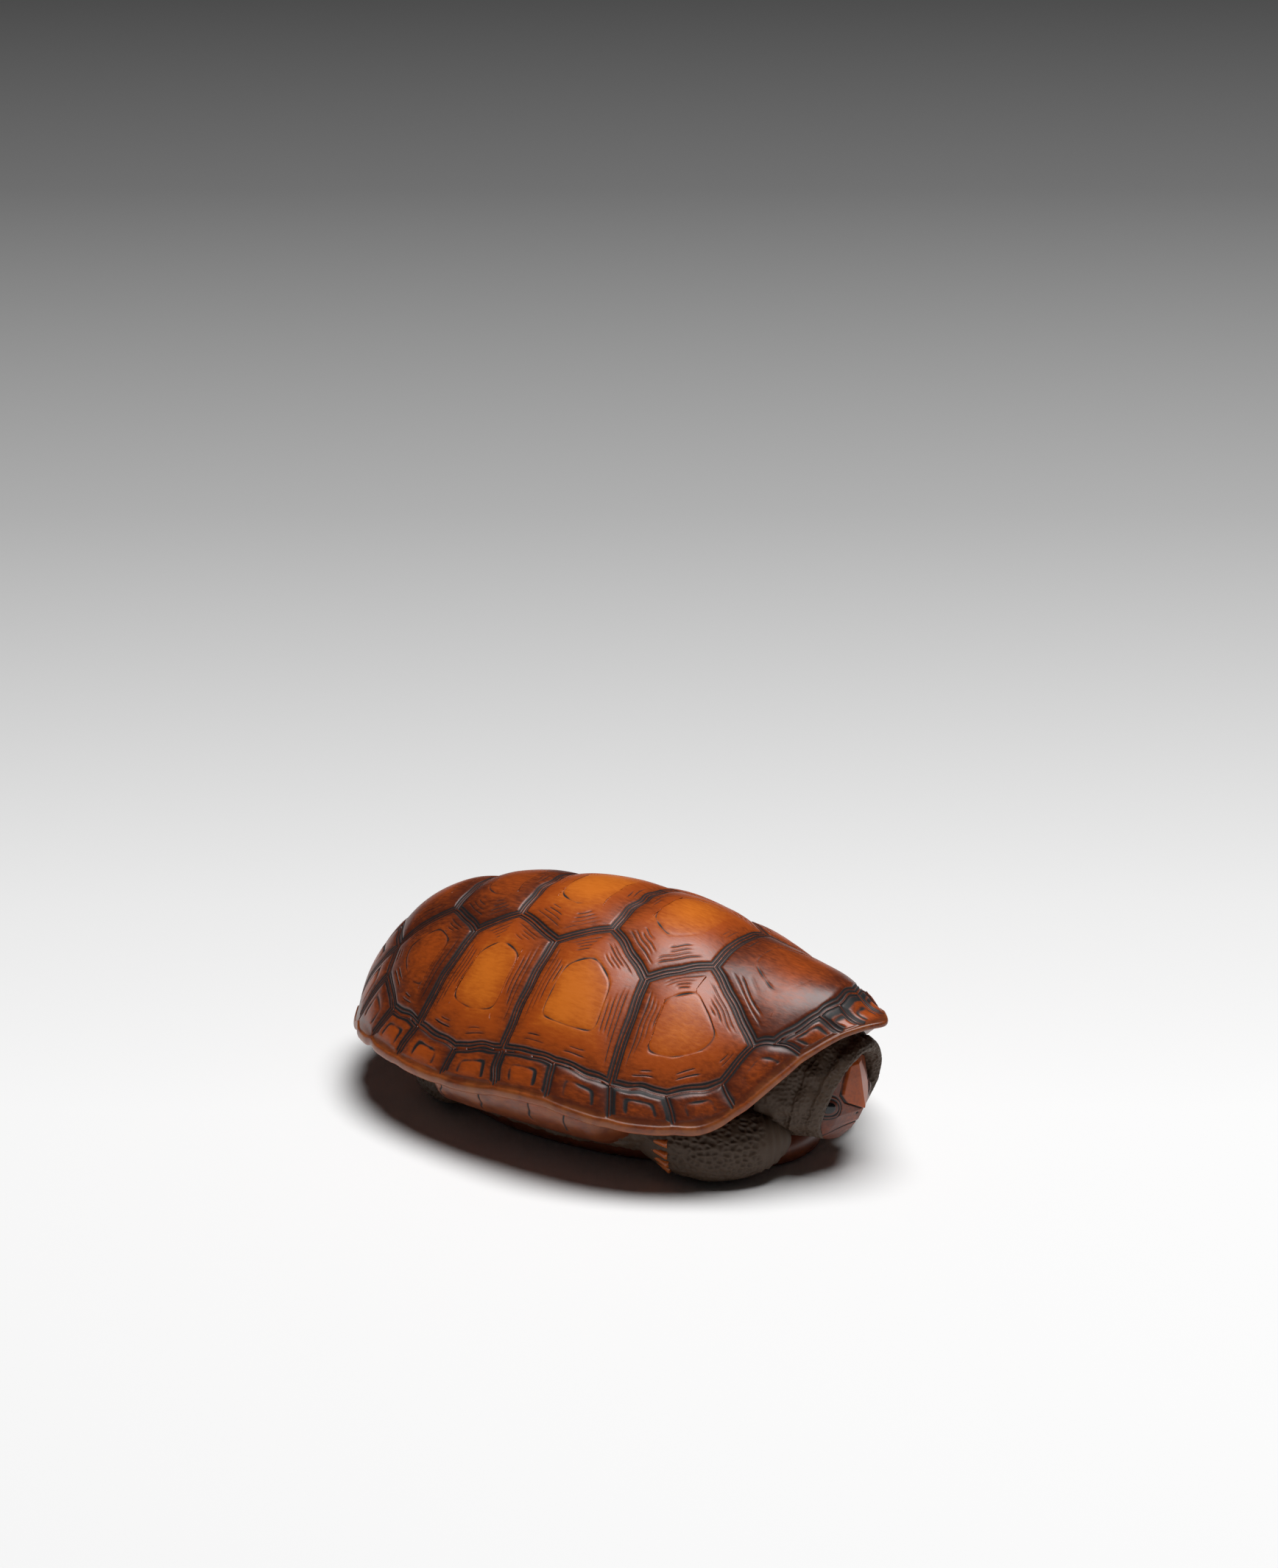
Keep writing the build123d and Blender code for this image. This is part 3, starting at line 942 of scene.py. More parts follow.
def add_limb(sheet, form, side):
    """Adds a limb: folds round its start, pits along its middle and worn skin at its end."""
    rows, columns = form["mesh"]
    folded, scaled, stretched = form["folded"], form["scaled"], form["stretched"]
    along, around = even_rows(rows), np.arange(columns) / columns
    points = limb_points(form, along, around)
    tips = limb_points(form, np.array([0.0, 1.0]), around[:1])[:, 0]
    middle = points.mean(axis=1, keepdims=True)
    folds = (1 - ease(along, folded, folded + 0.08)) * np.cos(2 * math.pi * along / limb_fold_pitch)
    spread = 1 + limb_fold * folds[:, None] + limb_uneven * ripple(points, *ripples["limb"])
    points = middle + (points - middle) * spread[..., None]
    below = np.exp(-(((around + 0.5) % 1 - 0.29) / 0.06) ** 2)
    end = ease(along, stretched, 1.0)
    wear = np.clip(0.5 * below[None] + 0.45 * end[:, None], 0, 1)
    mask = ease(along, folded, folded + 0.1) * (1 - 0.85 * ease(along, scaled, stretched + 0.1))
    # Tone of the skin's walls; the hind legs' low value paints shade on them
    tone = np.repeat((form["dryness_and_shade"] * (1 - 0.5 * end))[:, None], columns, axis=1)
    values = {"heart": mask[:, None], "wear": wear, "tone": tone}
    start, finish = on_side(tips, side)
    sheet.add(on_side(points, side), values, closed=True, first=start, last=finish)


def claw_points(form, side):
    """Where each claw of a limb stands, and which way it points."""
    around = np.linspace(*form["claws"])
    root = limb_points(form, np.array([claw_root_share]), around)[0]
    ahead = limb_points(form, np.array([claw_tip_share]), around)[0]
    middle = limb_points(form, np.array([claw_root_share]), np.arange(8) / 8)[0].mean(axis=0)
    spots = middle + (root - middle) * claw_sink_share
    return on_side(spots, side), unit(on_side(ahead - root, side))


def tail_points(along, around):
    """Rings of points round the curled tail."""
    turn = tail_turn * along
    back, sideways = tail_sweep
    middle = np.stack([-back * np.sin(turn), sideways * (1 - np.cos(turn)), 0 * turn], axis=1) + tail_root
    heading = unit(np.stack([-back * np.cos(turn), sideways * np.sin(turn), 0 * turn], axis=1))
    across = np.stack([heading[:, 1], -heading[:, 0], 0 * turn], axis=1)
    girth = tail_radii[0] + (tail_radii[1] - tail_radii[0]) * along
    rings = tail_fold * np.cos(2 * math.pi * along / tail_fold_pitch)
    girth = girth * (1 - rings) * (1 - ease(along, 0.95, 1.02) * 0.6)
    ring = across[:, None] * np.cos(2 * math.pi * around)[:, None]
    ring = ring + np.array([0, 0, 1.0]) * np.sin(2 * math.pi * around)[:, None]
    return middle[:, None] + ring * girth[:, None, None], middle[-1] + heading[-1] * tail_tip


def body_points(rows, columns):
    """Loops of points round the skin between the shells, from below upwards."""
    turn = 2 * math.pi * np.arange(columns) / columns
    x = body_middle + body_reach * np.cos(turn)
    width = (rim_half_width(x / shell_length) - body_inset) * np.sqrt(1 - np.abs(np.cos(turn)) ** 9)
    plan = np.stack([x, np.sign(np.sin(turn)) * width], axis=1)
    points = []
    for share in np.linspace(0, 1, rows):
        pull = 1 - body_pull * (2 * share - 1) ** 2
        height = body_foot + body_height * share
        row = np.concatenate([plan * pull, np.full((columns, 1), height)], axis=1)
        squeezed = row * np.array([1, 1, body_fold_squeeze])
        fold = body_fold * ripple(squeezed, *ripples["body_fold"])
        fold = fold + body_wrinkle * ripple(row, *ripples["body_wrinkle"])
        points.append(row * (1 + fold[:, None] * np.array([1, 1, 0])))
    return np.array(points)


def hood_points(rows, columns):
    """Rings of points over the fold of skin round the face, from its inside to the body."""
    steps = np.linspace(0, len(hood_shares) - 1, rows)
    setback = np.interp(steps, np.arange(len(hood_shares)), hood_setbacks)
    share = np.interp(steps, np.arange(len(hood_shares)), hood_shares)
    turn = 2 * math.pi * np.arange(columns) / columns
    rise = np.sin(turn)
    x = hood_front + hood_lean * rise[None] - setback[:, None]
    y = hood_half[0] * share[:, None] * np.cos(turn)[None]
    tall = np.where(rise > 0, share[:, None], np.minimum(share[:, None], 1.0))
    z = face_middle + hood_lift + hood_half[1] * tall * rise[None] * np.where(rise > 0, hood_crown, 1.0)
    points = np.stack([x, y, z], axis=-1)
    sway = hood_fold_sway * ripple(points, *ripples["hood_fold"])
    folds = np.sin(hood_fold_count * turn[None] + sway) * ease(share, *hood_fold_range)[:, None]
    middle = np.array([0, 0, face_middle])
    spread = 1 + hood_fold * folds + hood_wrinkle * ripple(points, *ripples["hood_wrinkle"])
    flat = points * np.array([0, 1, 1]) - middle
    return points * np.array([1, 0, 0]) + middle + flat * spread[..., None]


def face_surface(y, z):
    """Front of the head over the places of the face, with how deep and how bright it is carved."""
    wide = np.abs(y)
    front = np.interp(z, face_heights, face_fronts)
    setback = face_slope * wide + cheek_setback * (np.maximum(0, wide - cheek_start) / cheek_width) ** 2
    half = np.interp(z, plate_heights, plate_halves)
    inside = (z > plate_heights[0]) * (z < plate_heights[-1])
    plate = ease(half - wide, -0.1, 0.14) * inside
    crease = np.exp(-((wide - half - 0.06) / 0.09) ** 2) * inside * (1 - 0.6 * ease(z, 6.6, 7.4))
    eye = np.hypot(wide - eye_place[0], z - eye_place[1])
    inner, outer = (np.exp(-((eye - radius) / face_line_width) ** 2) for radius in lid_radii)
    lids = inner + 0.8 * outer
    lips = z - mouth_height + mouth_bend * wide ** 2
    mouth = np.exp(-(lips / face_line_width) ** 2) * (wide < mouth_half)
    nostril_y = (wide - nostril_place[0]) / nostril_size[0]
    nostril_z = (z - nostril_place[1]) / nostril_size[1]
    nostril = np.exp(-(nostril_y ** 2 + nostril_z ** 2))
    cut = np.clip(crease + lids + mouth + nostril, 0, 1)
    brow = brow_lift * np.exp(-(eye / brow_radius) ** 2)
    x = front - setback + plate_lift * plate + brow - face_line_depth * cut
    ridge = np.exp(-(wide / 0.3) ** 2) * plate
    tone = 0.17 + 0.25 * plate + 0.12 * ridge - 0.16 * np.exp(-(eye / 1.0) ** 2)
    return x, cut, tone


def belly_outline(turn):
    """The edge of the belly plate in plan, at angles from the head."""
    middle = (belly_low[0] + belly_high[0]) / 2
    reach = (belly_high[0] - belly_low[0]) / 2
    x = reach * np.cos(turn)
    y = belly_width_share * belly_high[1] * np.sign(np.sin(turn)) * np.abs(np.sin(turn)) ** 0.9
    waist = 1 - 0.1 * np.exp(-((np.abs(x) - 0.62 * reach) / 3.5) ** 2)
    return np.stack([middle + x, y * waist], axis=-1)


# Finishing a mesh
weld_distance = 0.002


def weld(mesh):
    """Joins points that lie on each other."""
    work = bmesh.new()
    work.from_mesh(mesh)
    bmesh.ops.remove_doubles(work, verts=work.verts, dist=weld_distance * MM)
    return work


def border_loops(work):
    """The open borders of a surface, each as its own list of edges."""
    left = {edge for edge in work.edges if edge.is_boundary}
    loops = []
    while left:
        loop, ahead = [], [left.pop()]
        while ahead:
            edge = ahead.pop()
            loop.append(edge)
            near = [other for vert in edge.verts for other in vert.link_edges if other in left]
            left.difference_update(near)
            ahead += near
        loops.append(loop)
    return loops


def join_borders(work):
    """Joins the two open borders of a shell piece, which closes it."""
    bmesh.ops.bridge_loops(work, edges=[edge for edge in work.edges if edge.is_boundary])


def settle(work, mesh):
    """Turns the faces outwards and puts the work back in its mesh."""
    bmesh.ops.recalc_face_normals(work, faces=work.faces)
    work.to_mesh(mesh)
    work.free()
    mesh.shade_smooth()


def place_mesh(mesh, name):
    """Puts a mesh in the scene as an object at the origin."""
    piece = bpy.data.objects.new(name, mesh)
    bpy.context.scene.collection.objects.link(piece)
    return piece


def keep_result(piece, modifier, **options):
    """Gives a piece the plain mesh that its modifier makes, and removes the modifier."""
    graph = bpy.context.evaluated_depsgraph_get()
    made = bpy.data.meshes.new_from_object(piece.evaluated_get(graph), depsgraph=graph, **options)
    piece.modifiers.remove(modifier)
    plain = piece.data
    piece.data = made
    bpy.data.meshes.remove(plain)
    return made


def bake_nodes(piece, tree, settings):
    """Runs a node tree on a piece and keeps the result as a plain mesh."""
    modifier = piece.modifiers.new("carving", "NODES")
    modifier.node_group = tree
    sockets = {item.name: item.identifier for item in tree.interface.items_tree if item.in_out == "INPUT"}
    for key, value in settings.items():
        modifier[sockets[key]] = value
    made = keep_result(piece, modifier, preserve_all_data_layers=True)
    made.name = piece.name
    made.shade_smooth()


def ring_piece(sheet, name):
    """Makes a closed piece from its sheet."""
    mesh = sheet.mesh(name)
    settle(weld(mesh), mesh)
    return place_mesh(mesh, name)


def finish_piece(piece, slot, *nodes):
    """Hands the piece to the frame, in place of its solids."""
    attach(piece, "root")
    if nodes:
        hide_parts(*nodes)


# Node building
class Nodes:
    """Short ways to add and join nodes in one tree."""

    def __init__(self, tree):
        self.tree = tree

    def put(self, source, socket):
        """Joins a socket to an input, or sets the input's own value."""
        if isinstance(source, bpy.types.NodeSocket):
            self.tree.links.new(source, socket)
        else:
            socket.default_value = source

    def add(self, kind, inputs=None, **settings):
        """Adds a node, with its settings and inputs."""
        node = self.tree.nodes.new(kind)
        for key, value in settings.items():
            setattr(node, key, value)
        for key, value in (inputs or {}).items():
            self.put(value, node.inputs[key])
        return node

    def math(self, operation, first, second=0.0, third=0.0):
        """One sum of numbers."""
        inputs = {0: first, 1: second, 2: third}
        return self.add("ShaderNodeMath", inputs, operation=operation).outputs[0]

    def scale(self, vector, amount):
        """A vector made longer or shorter."""
        node = self.add("ShaderNodeVectorMath", {0: vector, "Scale": amount}, operation="SCALE")
        return node.outputs[0]

    def span(self, value, low, high, to_low=0.0, to_high=1.0):
        """A value moved from one range to another, smoothly and held at its ends."""
        inputs = {"Value": value, "From Min": low, "From Max": high, "To Min": to_low, "To Max": to_high}
        node = self.add("ShaderNodeMapRange", inputs, interpolation_type="SMOOTHSTEP")
        return node.outputs[0]

    def mix(self, share, first, second):
        """Two colours mixed."""
        node = self.add("ShaderNodeMix", data_type="RGBA")
        self.put(share, node.inputs[0])
        self.put(first, node.inputs[6])
        self.put(second, node.inputs[7])
        return node.outputs[2]

    def stir(self, value, noise, strength):
        """A value made uneven by noise, up and down alike."""
        return self.math("MULTIPLY_ADD", self.math("SUBTRACT", noise, 0.5), strength, value)

    def painted(self, name):
        """A mesh's own value, as a material reads it."""
        return self.add("ShaderNodeAttribute", attribute_name=name).outputs["Fac"]

    def stored(self, name, kind="FLOAT"):
        """A mesh's own value, as a geometry tree reads it."""
        return self.add("GeometryNodeInputNamedAttribute", {"Name": name}, data_type=kind).outputs[0]

    def noise(self, vector, size, detail=2.0, roughness=0.5):
        """Even noise whose lumps are about the given size in metres."""
        inputs = {"Vector": vector, "Scale": 1 / size, "Detail": detail, "Roughness": roughness}
        return self.add("ShaderNodeTexNoise", inputs).outputs[0]


def new_tree(name, inputs):
    """A geometry tree with named inputs; gives it and its node helper."""
    tree = bpy.data.node_groups.new(name, "GeometryNodeTree")
    tree.interface.new_socket("Geometry", in_out="INPUT", socket_type="NodeSocketGeometry")
    for label, kind in inputs:
        tree.interface.new_socket(label, in_out="INPUT", socket_type=kind)
    tree.interface.new_socket("Geometry", in_out="OUTPUT", socket_type="NodeSocketGeometry")
    nodes = Nodes(tree)
    source = nodes.add("NodeGroupInput").outputs
    return tree, nodes, source


def end_tree(nodes, geometry, material):
    """Ends a tree with real geometry in its material."""
    real = nodes.add("GeometryNodeRealizeInstances", {"Geometry": geometry})
    dressed = nodes.add("GeometryNodeSetMaterial", {"Geometry": real.outputs[0], "Material": material})
    nodes.add("NodeGroupOutput", {"Geometry": dressed.outputs[0]})


def shell_tree():
    """Moves the shell's points out for the pillows and in for the carved lines."""
    if "shell_relief" in bpy.data.node_groups:
        return bpy.data.node_groups["shell_relief"]
    tree, nodes, source = new_tree("shell_relief", (
        ("Pillow height", "NodeSocketFloat"), ("Line depth", "NodeSocketFloat"),
        ("Tool chatter", "NodeSocketFloat"), ("Wood", "NodeSocketMaterial")))
    outward = nodes.stored("outward", "FLOAT_VECTOR")
    place = nodes.add("GeometryNodeInputPosition").outputs[0]
    swell = nodes.math("MULTIPLY", nodes.stored("pillow"), source["Pillow height"])
    line = nodes.math("MULTIPLY", nodes.stored("cut"), source["Line depth"])
    knife = nodes.math("SUBTRACT", nodes.noise(place, 1.4 * MM, 3.0), 0.5)
    inner = nodes.span(nodes.stored("pillow"), 0.02, 0.3)
    knife = nodes.math("MULTIPLY", nodes.math("MULTIPLY", knife, source["Tool chatter"]), inner)
    height = nodes.math("ADD", nodes.math("SUBTRACT", swell, line), knife)
    moved = nodes.add("GeometryNodeSetPosition", {
        "Geometry": source["Geometry"], "Offset": nodes.scale(outward, height)})
    end_tree(nodes, moved.outputs[0], source["Wood"])
    return tree


def skin_tree():
    """Sinks pits between scale walls and roughens the skin."""
    if "skin_relief" in bpy.data.node_groups:
        return bpy.data.node_groups["skin_relief"]
    tree, nodes, source = new_tree("skin_relief", (
        ("Scale size", "NodeSocketFloat"), ("Pit depth", "NodeSocketFloat"), ("Skin", "NodeSocketMaterial")))
    mask = nodes.stored("heart")
    place = nodes.add("GeometryNodeInputPosition").outputs[0]
    facing = nodes.add("GeometryNodeInputNormal").outputs[0]
    per_metre = nodes.math("DIVIDE", 1.0, source["Scale size"])
    sway = nodes.add("ShaderNodeTexNoise", {"Vector": place, "Scale": 900.0})
    place = nodes.add("ShaderNodeVectorMath", {
        0: place, 1: nodes.scale(sway.outputs["Color"], 0.15 * MM)}, operation="ADD").outputs[0]
    cells = nodes.add("ShaderNodeTexVoronoi", {"Vector": place, "Scale": per_metre, "Randomness": 0.75},
                      feature="DISTANCE_TO_EDGE").outputs[0]
    pit = nodes.math("MULTIPLY", nodes.span(cells, 0.05, 0.3), mask)
    sink = nodes.math("MULTIPLY", nodes.math("MULTIPLY", pit, source["Pit depth"]), -1.0)
    moved = nodes.add("GeometryNodeSetPosition", {
        "Geometry": source["Geometry"], "Offset": nodes.scale(facing, sink)})
    stored = nodes.add("GeometryNodeStoreNamedAttribute", {
        "Geometry": moved.outputs[0], "Name": "cut", "Value": pit}, data_type="FLOAT", domain="POINT")
    end_tree(nodes, stored.outputs[0], source["Skin"])
    return tree


def claw_tree():
    """Stands a tapered claw on every point, along the point's direction."""
    if "claws" in bpy.data.node_groups:
        return bpy.data.node_groups["claws"]
    tree, nodes, source = new_tree("claws", (
        ("Length", "NodeSocketFloat"), ("Radius", "NodeSocketFloat"), ("Wood", "NodeSocketMaterial")))
    heading = nodes.stored("outward", "FLOAT_VECTOR")
    claw = nodes.add("GeometryNodeMeshCone", {
        "Vertices": claw_sides, "Side Segments": claw_rings, "Depth": source["Length"],
        "Radius Top": nodes.math("MULTIPLY", source["Radius"], claw_taper),
        "Radius Bottom": source["Radius"]}).outputs[0]
    turned = nodes.add("FunctionNodeAlignRotationToVector", {"Vector": heading}, axis="Z").outputs[0]
    placed = nodes.add("GeometryNodeInstanceOnPoints", {
        "Points": source["Geometry"], "Instance": claw, "Rotation": turned}).outputs[0]
    real = nodes.add("GeometryNodeRealizeInstances", {"Geometry": placed}).outputs[0]
    for key, value in claw_values.items():
        real = nodes.add("GeometryNodeStoreNamedAttribute", {
            "Geometry": real, "Name": key, "Value": value}, data_type="FLOAT", domain="POINT").outputs[0]
    end_tree(nodes, real, source["Wood"])
    return tree


# Materials
def new_material(name):
    """An empty material; gives it, its node helper and its shader."""
    material = bpy.data.materials.new(name)
    material.use_nodes = True
    nodes = Nodes(material.node_tree)
    return material, nodes, material.node_tree.nodes["Principled BSDF"]


def color(value):
    """A colour with its full alpha."""
    return (*value, 1.0)


def carved_boxwood():
    """Polished boxwood: bright in the scutes, stained in the lines, worn on the edges."""
    if "carved_boxwood" in bpy.data.materials:
        return bpy.data.materials["carved_boxwood"]
    finish = bpy.context.scene.turtle_wood
    material, nodes, shader = new_material("carved_boxwood")

    place = nodes.add("ShaderNodeTexCoord").outputs["Object"]
    tone, heart, cut, wear = (nodes.painted(name) for name in ("tone", "heart", "cut", "wear"))
    grain_place = nodes.add("ShaderNodeMapping", {
        "Vector": place, "Rotation": grain_turn, "Scale": grain_stretch}).outputs[0]
    cloud = nodes.noise(place, wood_cloud[0] * MM, 3.0)
    fleck = nodes.noise(grain_place, wood_fleck[0] * MM, 3.0, 0.6)
    streak = nodes.noise(grain_place, wood_streak[0] * MM, 2.0)
    lift = nodes.math("MULTIPLY", tone, nodes.span(heart, 0.0, 1.0, *heart_lift))
    for noise, strength in ((cloud, wood_cloud[1]), (streak, wood_streak[1]), (fleck, wood_fleck[1])):
        lift = nodes.stir(lift, noise, strength)
    wood = nodes.mix(nodes.span(lift, *warm_range), color(finish.deep), color(finish.warm))
    wood = nodes.mix(nodes.span(lift, *bright_range), wood, color(finish.bright))
    rubbed = nodes.span(nodes.noise(place, wood_rub_size * MM, 3.0), *rub_range, *wood_rub)
    wood = nodes.mix(nodes.math("MULTIPLY", wear, rubbed), wood, color(finish.worn))
    grime = nodes.noise(place, wood_grime[0] * MM, 2.0)
    stain = nodes.span(nodes.stir(cut, grime, wood_grime[1]), *stain_range)
    wood = nodes.mix(stain, wood, color(finish.stain))
    nodes.put(wood, shader.inputs["Base Color"])
    rough = nodes.math("MULTIPLY_ADD", fleck, fleck_roughness, wood_roughness)
    nodes.put(nodes.math("MULTIPLY_ADD", stain, stain_roughness, rough), shader.inputs["Roughness"])
    bump = nodes.add("ShaderNodeBump", {**wood_bump, "Height": fleck})
    nodes.put(bump.outputs[0], shader.inputs["Normal"])
    return material


def stained_skin():
    """Stain over carved skin: black in the pits, greyer on the walls between them."""
    if "stained_skin" in bpy.data.materials:
        return bpy.data.materials["stained_skin"]
    finish = bpy.context.scene.turtle_wood
    material, nodes, shader = new_material("stained_skin")

    place = nodes.add("ShaderNodeTexCoord").outputs["Object"]
    cut, wear, tone = (nodes.painted(name) for name in ("cut", "wear", "tone"))
    speck = nodes.noise(place, skin_speck_size * MM, 3.0, 0.6)
    cloud = nodes.noise(place, skin_cloud_size * MM, 2.0)
    raised = nodes.math("SUBTRACT", 1.0, cut)
    dry = nodes.math("MULTIPLY", raised, tone)
    dry = nodes.math("MULTIPLY", dry, nodes.span(speck, *rub_range, *skin_speck))
    dry = nodes.math("MULTIPLY", dry, nodes.span(cloud, *skin_cloud_range, *skin_cloud))
    skin = nodes.mix(dry, color(finish.stain), color(finish.dry))
    rubbed = nodes.span(nodes.noise(place, skin_rub_size * MM, 3.0), *rub_range, *skin_rub)
    skin = nodes.mix(nodes.math("MULTIPLY", wear, rubbed), skin, color(finish.warm))
    nodes.put(skin, shader.inputs["Base Color"])
    nodes.put(nodes.math("MULTIPLY_ADD", speck, speck_roughness, skin_roughness), shader.inputs["Roughness"])
    bump = nodes.add("ShaderNodeBump", {**skin_bump, "Height": speck})
    nodes.put(bump.outputs[0], shader.inputs["Normal"])
    return material


def dark_horn():
    """Polished near-black horn, a little uneven."""
    finish = bpy.context.scene.turtle_wood
    material, nodes, shader = new_material("dark_horn")
    place = nodes.add("ShaderNodeTexCoord").outputs["Object"]
    cloud = nodes.noise(place, horn_cloud_size * MM, 3.0)
    share = nodes.span(cloud, *horn_cloud_range, *horn_cloud)
    nodes.put(nodes.mix(share, color(finish.stain), color(finish.deep)), shader.inputs["Base Color"])
    rough = nodes.math("MULTIPLY_ADD", cloud, horn_cloud_roughness, horn_roughness)
    nodes.put(rough, shader.inputs["Roughness"])
    return material


# Operators
class TurtleOperator(bpy.types.Operator):
    """Shared settings of the turtle's operators."""

    bl_options = {"REGISTER", "UNDO"}


def shell_piece(sheet, name, close):
    """Makes a shell piece from its sheet and carves it."""
    carving = bpy.context.scene.turtle_shell
    mesh = sheet.mesh(name)
    work = weld(mesh)
    close(work)
    settle(work, mesh)
    piece = place_mesh(mesh, name)
    bake_nodes(piece, shell_tree(), {
        "Pillow height": carving.pillow_height, "Line depth": carving.line_depth,
        "Tool chatter": carving.chatter, "Wood": carved_boxwood()})
    finish_piece(piece, "polished_boxwood", "carapace")
    return piece


class TURTLE_OT_vertebrals(TurtleOperator):
    """Carve the five scutes along the ridge of the shell"""

    bl_idname = "turtle.vertebrals"
    bl_label = "Vertebral scutes"

    def execute(self, context):
        sheet = Sheet()
        for seed, (names, tone) in enumerate(vertebral_corners.values()):
            carve_scute(sheet, both_sides(names), tone, "vertebral", 100 + 20 * seed)
        shell_piece(sheet, "shell_vertebrals", join_borders)
        return {"FINISHED"}


class TURTLE_OT_costals(TurtleOperator):
    """Carve the four large scutes down each side of the shell"""

    bl_idname = "turtle.costals"
    bl_label = "Costal scutes"

    def execute(self, context):
        for side, word in sides:
            sheet = Sheet()
            for seed, (names, tone) in enumerate(costal_corners.values()):
                corners = [(name, side, False) for name in names]
                carve_scute(sheet, corners, tone, "costal", 300 + 20 * seed + side)
            shell_piece(sheet, f"shell_costals_{word}", join_borders)
        return {"FINISHED"}


def close_margin(work):
    """Drops the inner border of the ring of marginals and joins it to the underside."""
    def top(loop):
        return max(vert.co.z for edge in loop for vert in edge.verts)

    inner = max(border_loops(work), key=top)
    made = bmesh.ops.extrude_edge_only(work, edges=inner)["geom"]
    for vert in made:
        if isinstance(vert, bmesh.types.BMVert):
            vert.co.z -= margin_drop * MM
    join_borders(work)


class TURTLE_OT_marginals(TurtleOperator):
    """Carve the ring of marginal scutes and the rolled rim"""

    bl_idname = "turtle.marginals"
    bl_label = "Marginal scutes"

    def execute(self, context):
        sheet = Sheet()
        for side in (RIGHT, LEFT):
            for number, tone in enumerate(marginal_tones):
                carve_scute(sheet, marginal_corners(number, side), tone, "marginal", 500 + 20 * number + side)
        for name, seed in (("nuchal", 800), ("pygal", 820)):
            corners = [(name, RIGHT, False), (name, LEFT, False), (name, LEFT, True), (name, RIGHT, True)]
            carve_scute(sheet, corners, end_tone, "marginal", seed)
        add_lip(sheet)
        shell_piece(sheet, "shell_marginals", close_margin)
        return {"FINISHED"}


def skin_piece(sheet, name, kind, solid):
    """Makes a piece of stained skin and pits it."""
    skin = bpy.context.scene.turtle_skin
    size_share, depth_share = skin_shares[kind]
    piece = ring_piece(sheet, name)
    bake_nodes(piece, skin_tree(), {
        "Scale size": skin.cell_size * size_share, "Pit depth": skin.pit_depth * depth_share,
        "Skin": stained_skin()})
    finish_piece(piece, "stained_skin", solid)


def claw_pieces(form, limb):
    """Makes the claws of a pair of limbs."""
    skin = bpy.context.scene.turtle_skin
    for side, word in sides:
        name = f"{limb}_claws_{word}"
        spots, headings = claw_points(form, side)
        mesh = bpy.data.meshes.new(name)
        mesh.from_pydata((spots * MM).tolist(), [], [])
        layer = mesh.attributes.new("outward", "FLOAT_VECTOR", "POINT")
        layer.data.foreach_set("vector", headings.astype(np.float32).ravel())
        piece = place_mesh(mesh, name)
        bake_nodes(piece, claw_tree(), {
            "Length": skin.claw_length, "Radius": skin.claw_radius, "Wood": carved_boxwood()})
        finish_piece(piece, "polished_boxwood", f"{limb}_{word}")


def limb_pieces(form, limb):
    """Makes both limbs of a pair, with their claws."""
    for side, word in sides:
        sheet = Sheet()
        add_limb(sheet, form, side)
        skin_piece(sheet, f"{limb}_skin_{word}", "limb", f"{limb}_{word}")
    claw_pieces(form, limb)


class TURTLE_OT_forelegs(TurtleOperator):
    """Carve the two folded forelegs with their claws"""

    bl_idname = "turtle.forelegs"
    bl_label = "Forelegs"

    def execute(self, context):
        limb_pieces(foreleg_form, "foreleg")
        return {"FINISHED"}


class TURTLE_OT_hind_legs(TurtleOperator):
    """Carve the two hind legs tucked under the back of the shell"""

    bl_idname = "turtle.hind_legs"
    bl_label = "Hind legs"

    def execute(self, context):
        limb_pieces(hind_leg_form, "hind_leg")
        return {"FINISHED"}


class TURTLE_OT_body(TurtleOperator):
    """Carve the wrinkled skin between the shells, and the tail"""

    bl_idname = "turtle.body"
    bl_label = "Body skin and tail"

    def execute(self, context):
        sheet = Sheet()
        points = body_points(*body_mesh)
        ends = points[0].mean(axis=0), points[-1].mean(axis=0)
        sheet.add(points, body_values, closed=True, first=ends[0], last=ends[1])
        skin_piece(sheet, "body_skin", "body", "body")
        sheet = Sheet()
        rows, columns = tail_mesh
        points, tip = tail_points(np.linspace(0, 1, rows), np.arange(columns) / columns)
        values = {**tail_values, "wear": np.linspace(0, tail_wear, rows)[:, None] ** 2}
        sheet.add(points, values, closed=True, first=points[0].mean(axis=0), last=tip)
        skin_piece(sheet, "tail_skin", "tail", "tail")
        return {"FINISHED"}


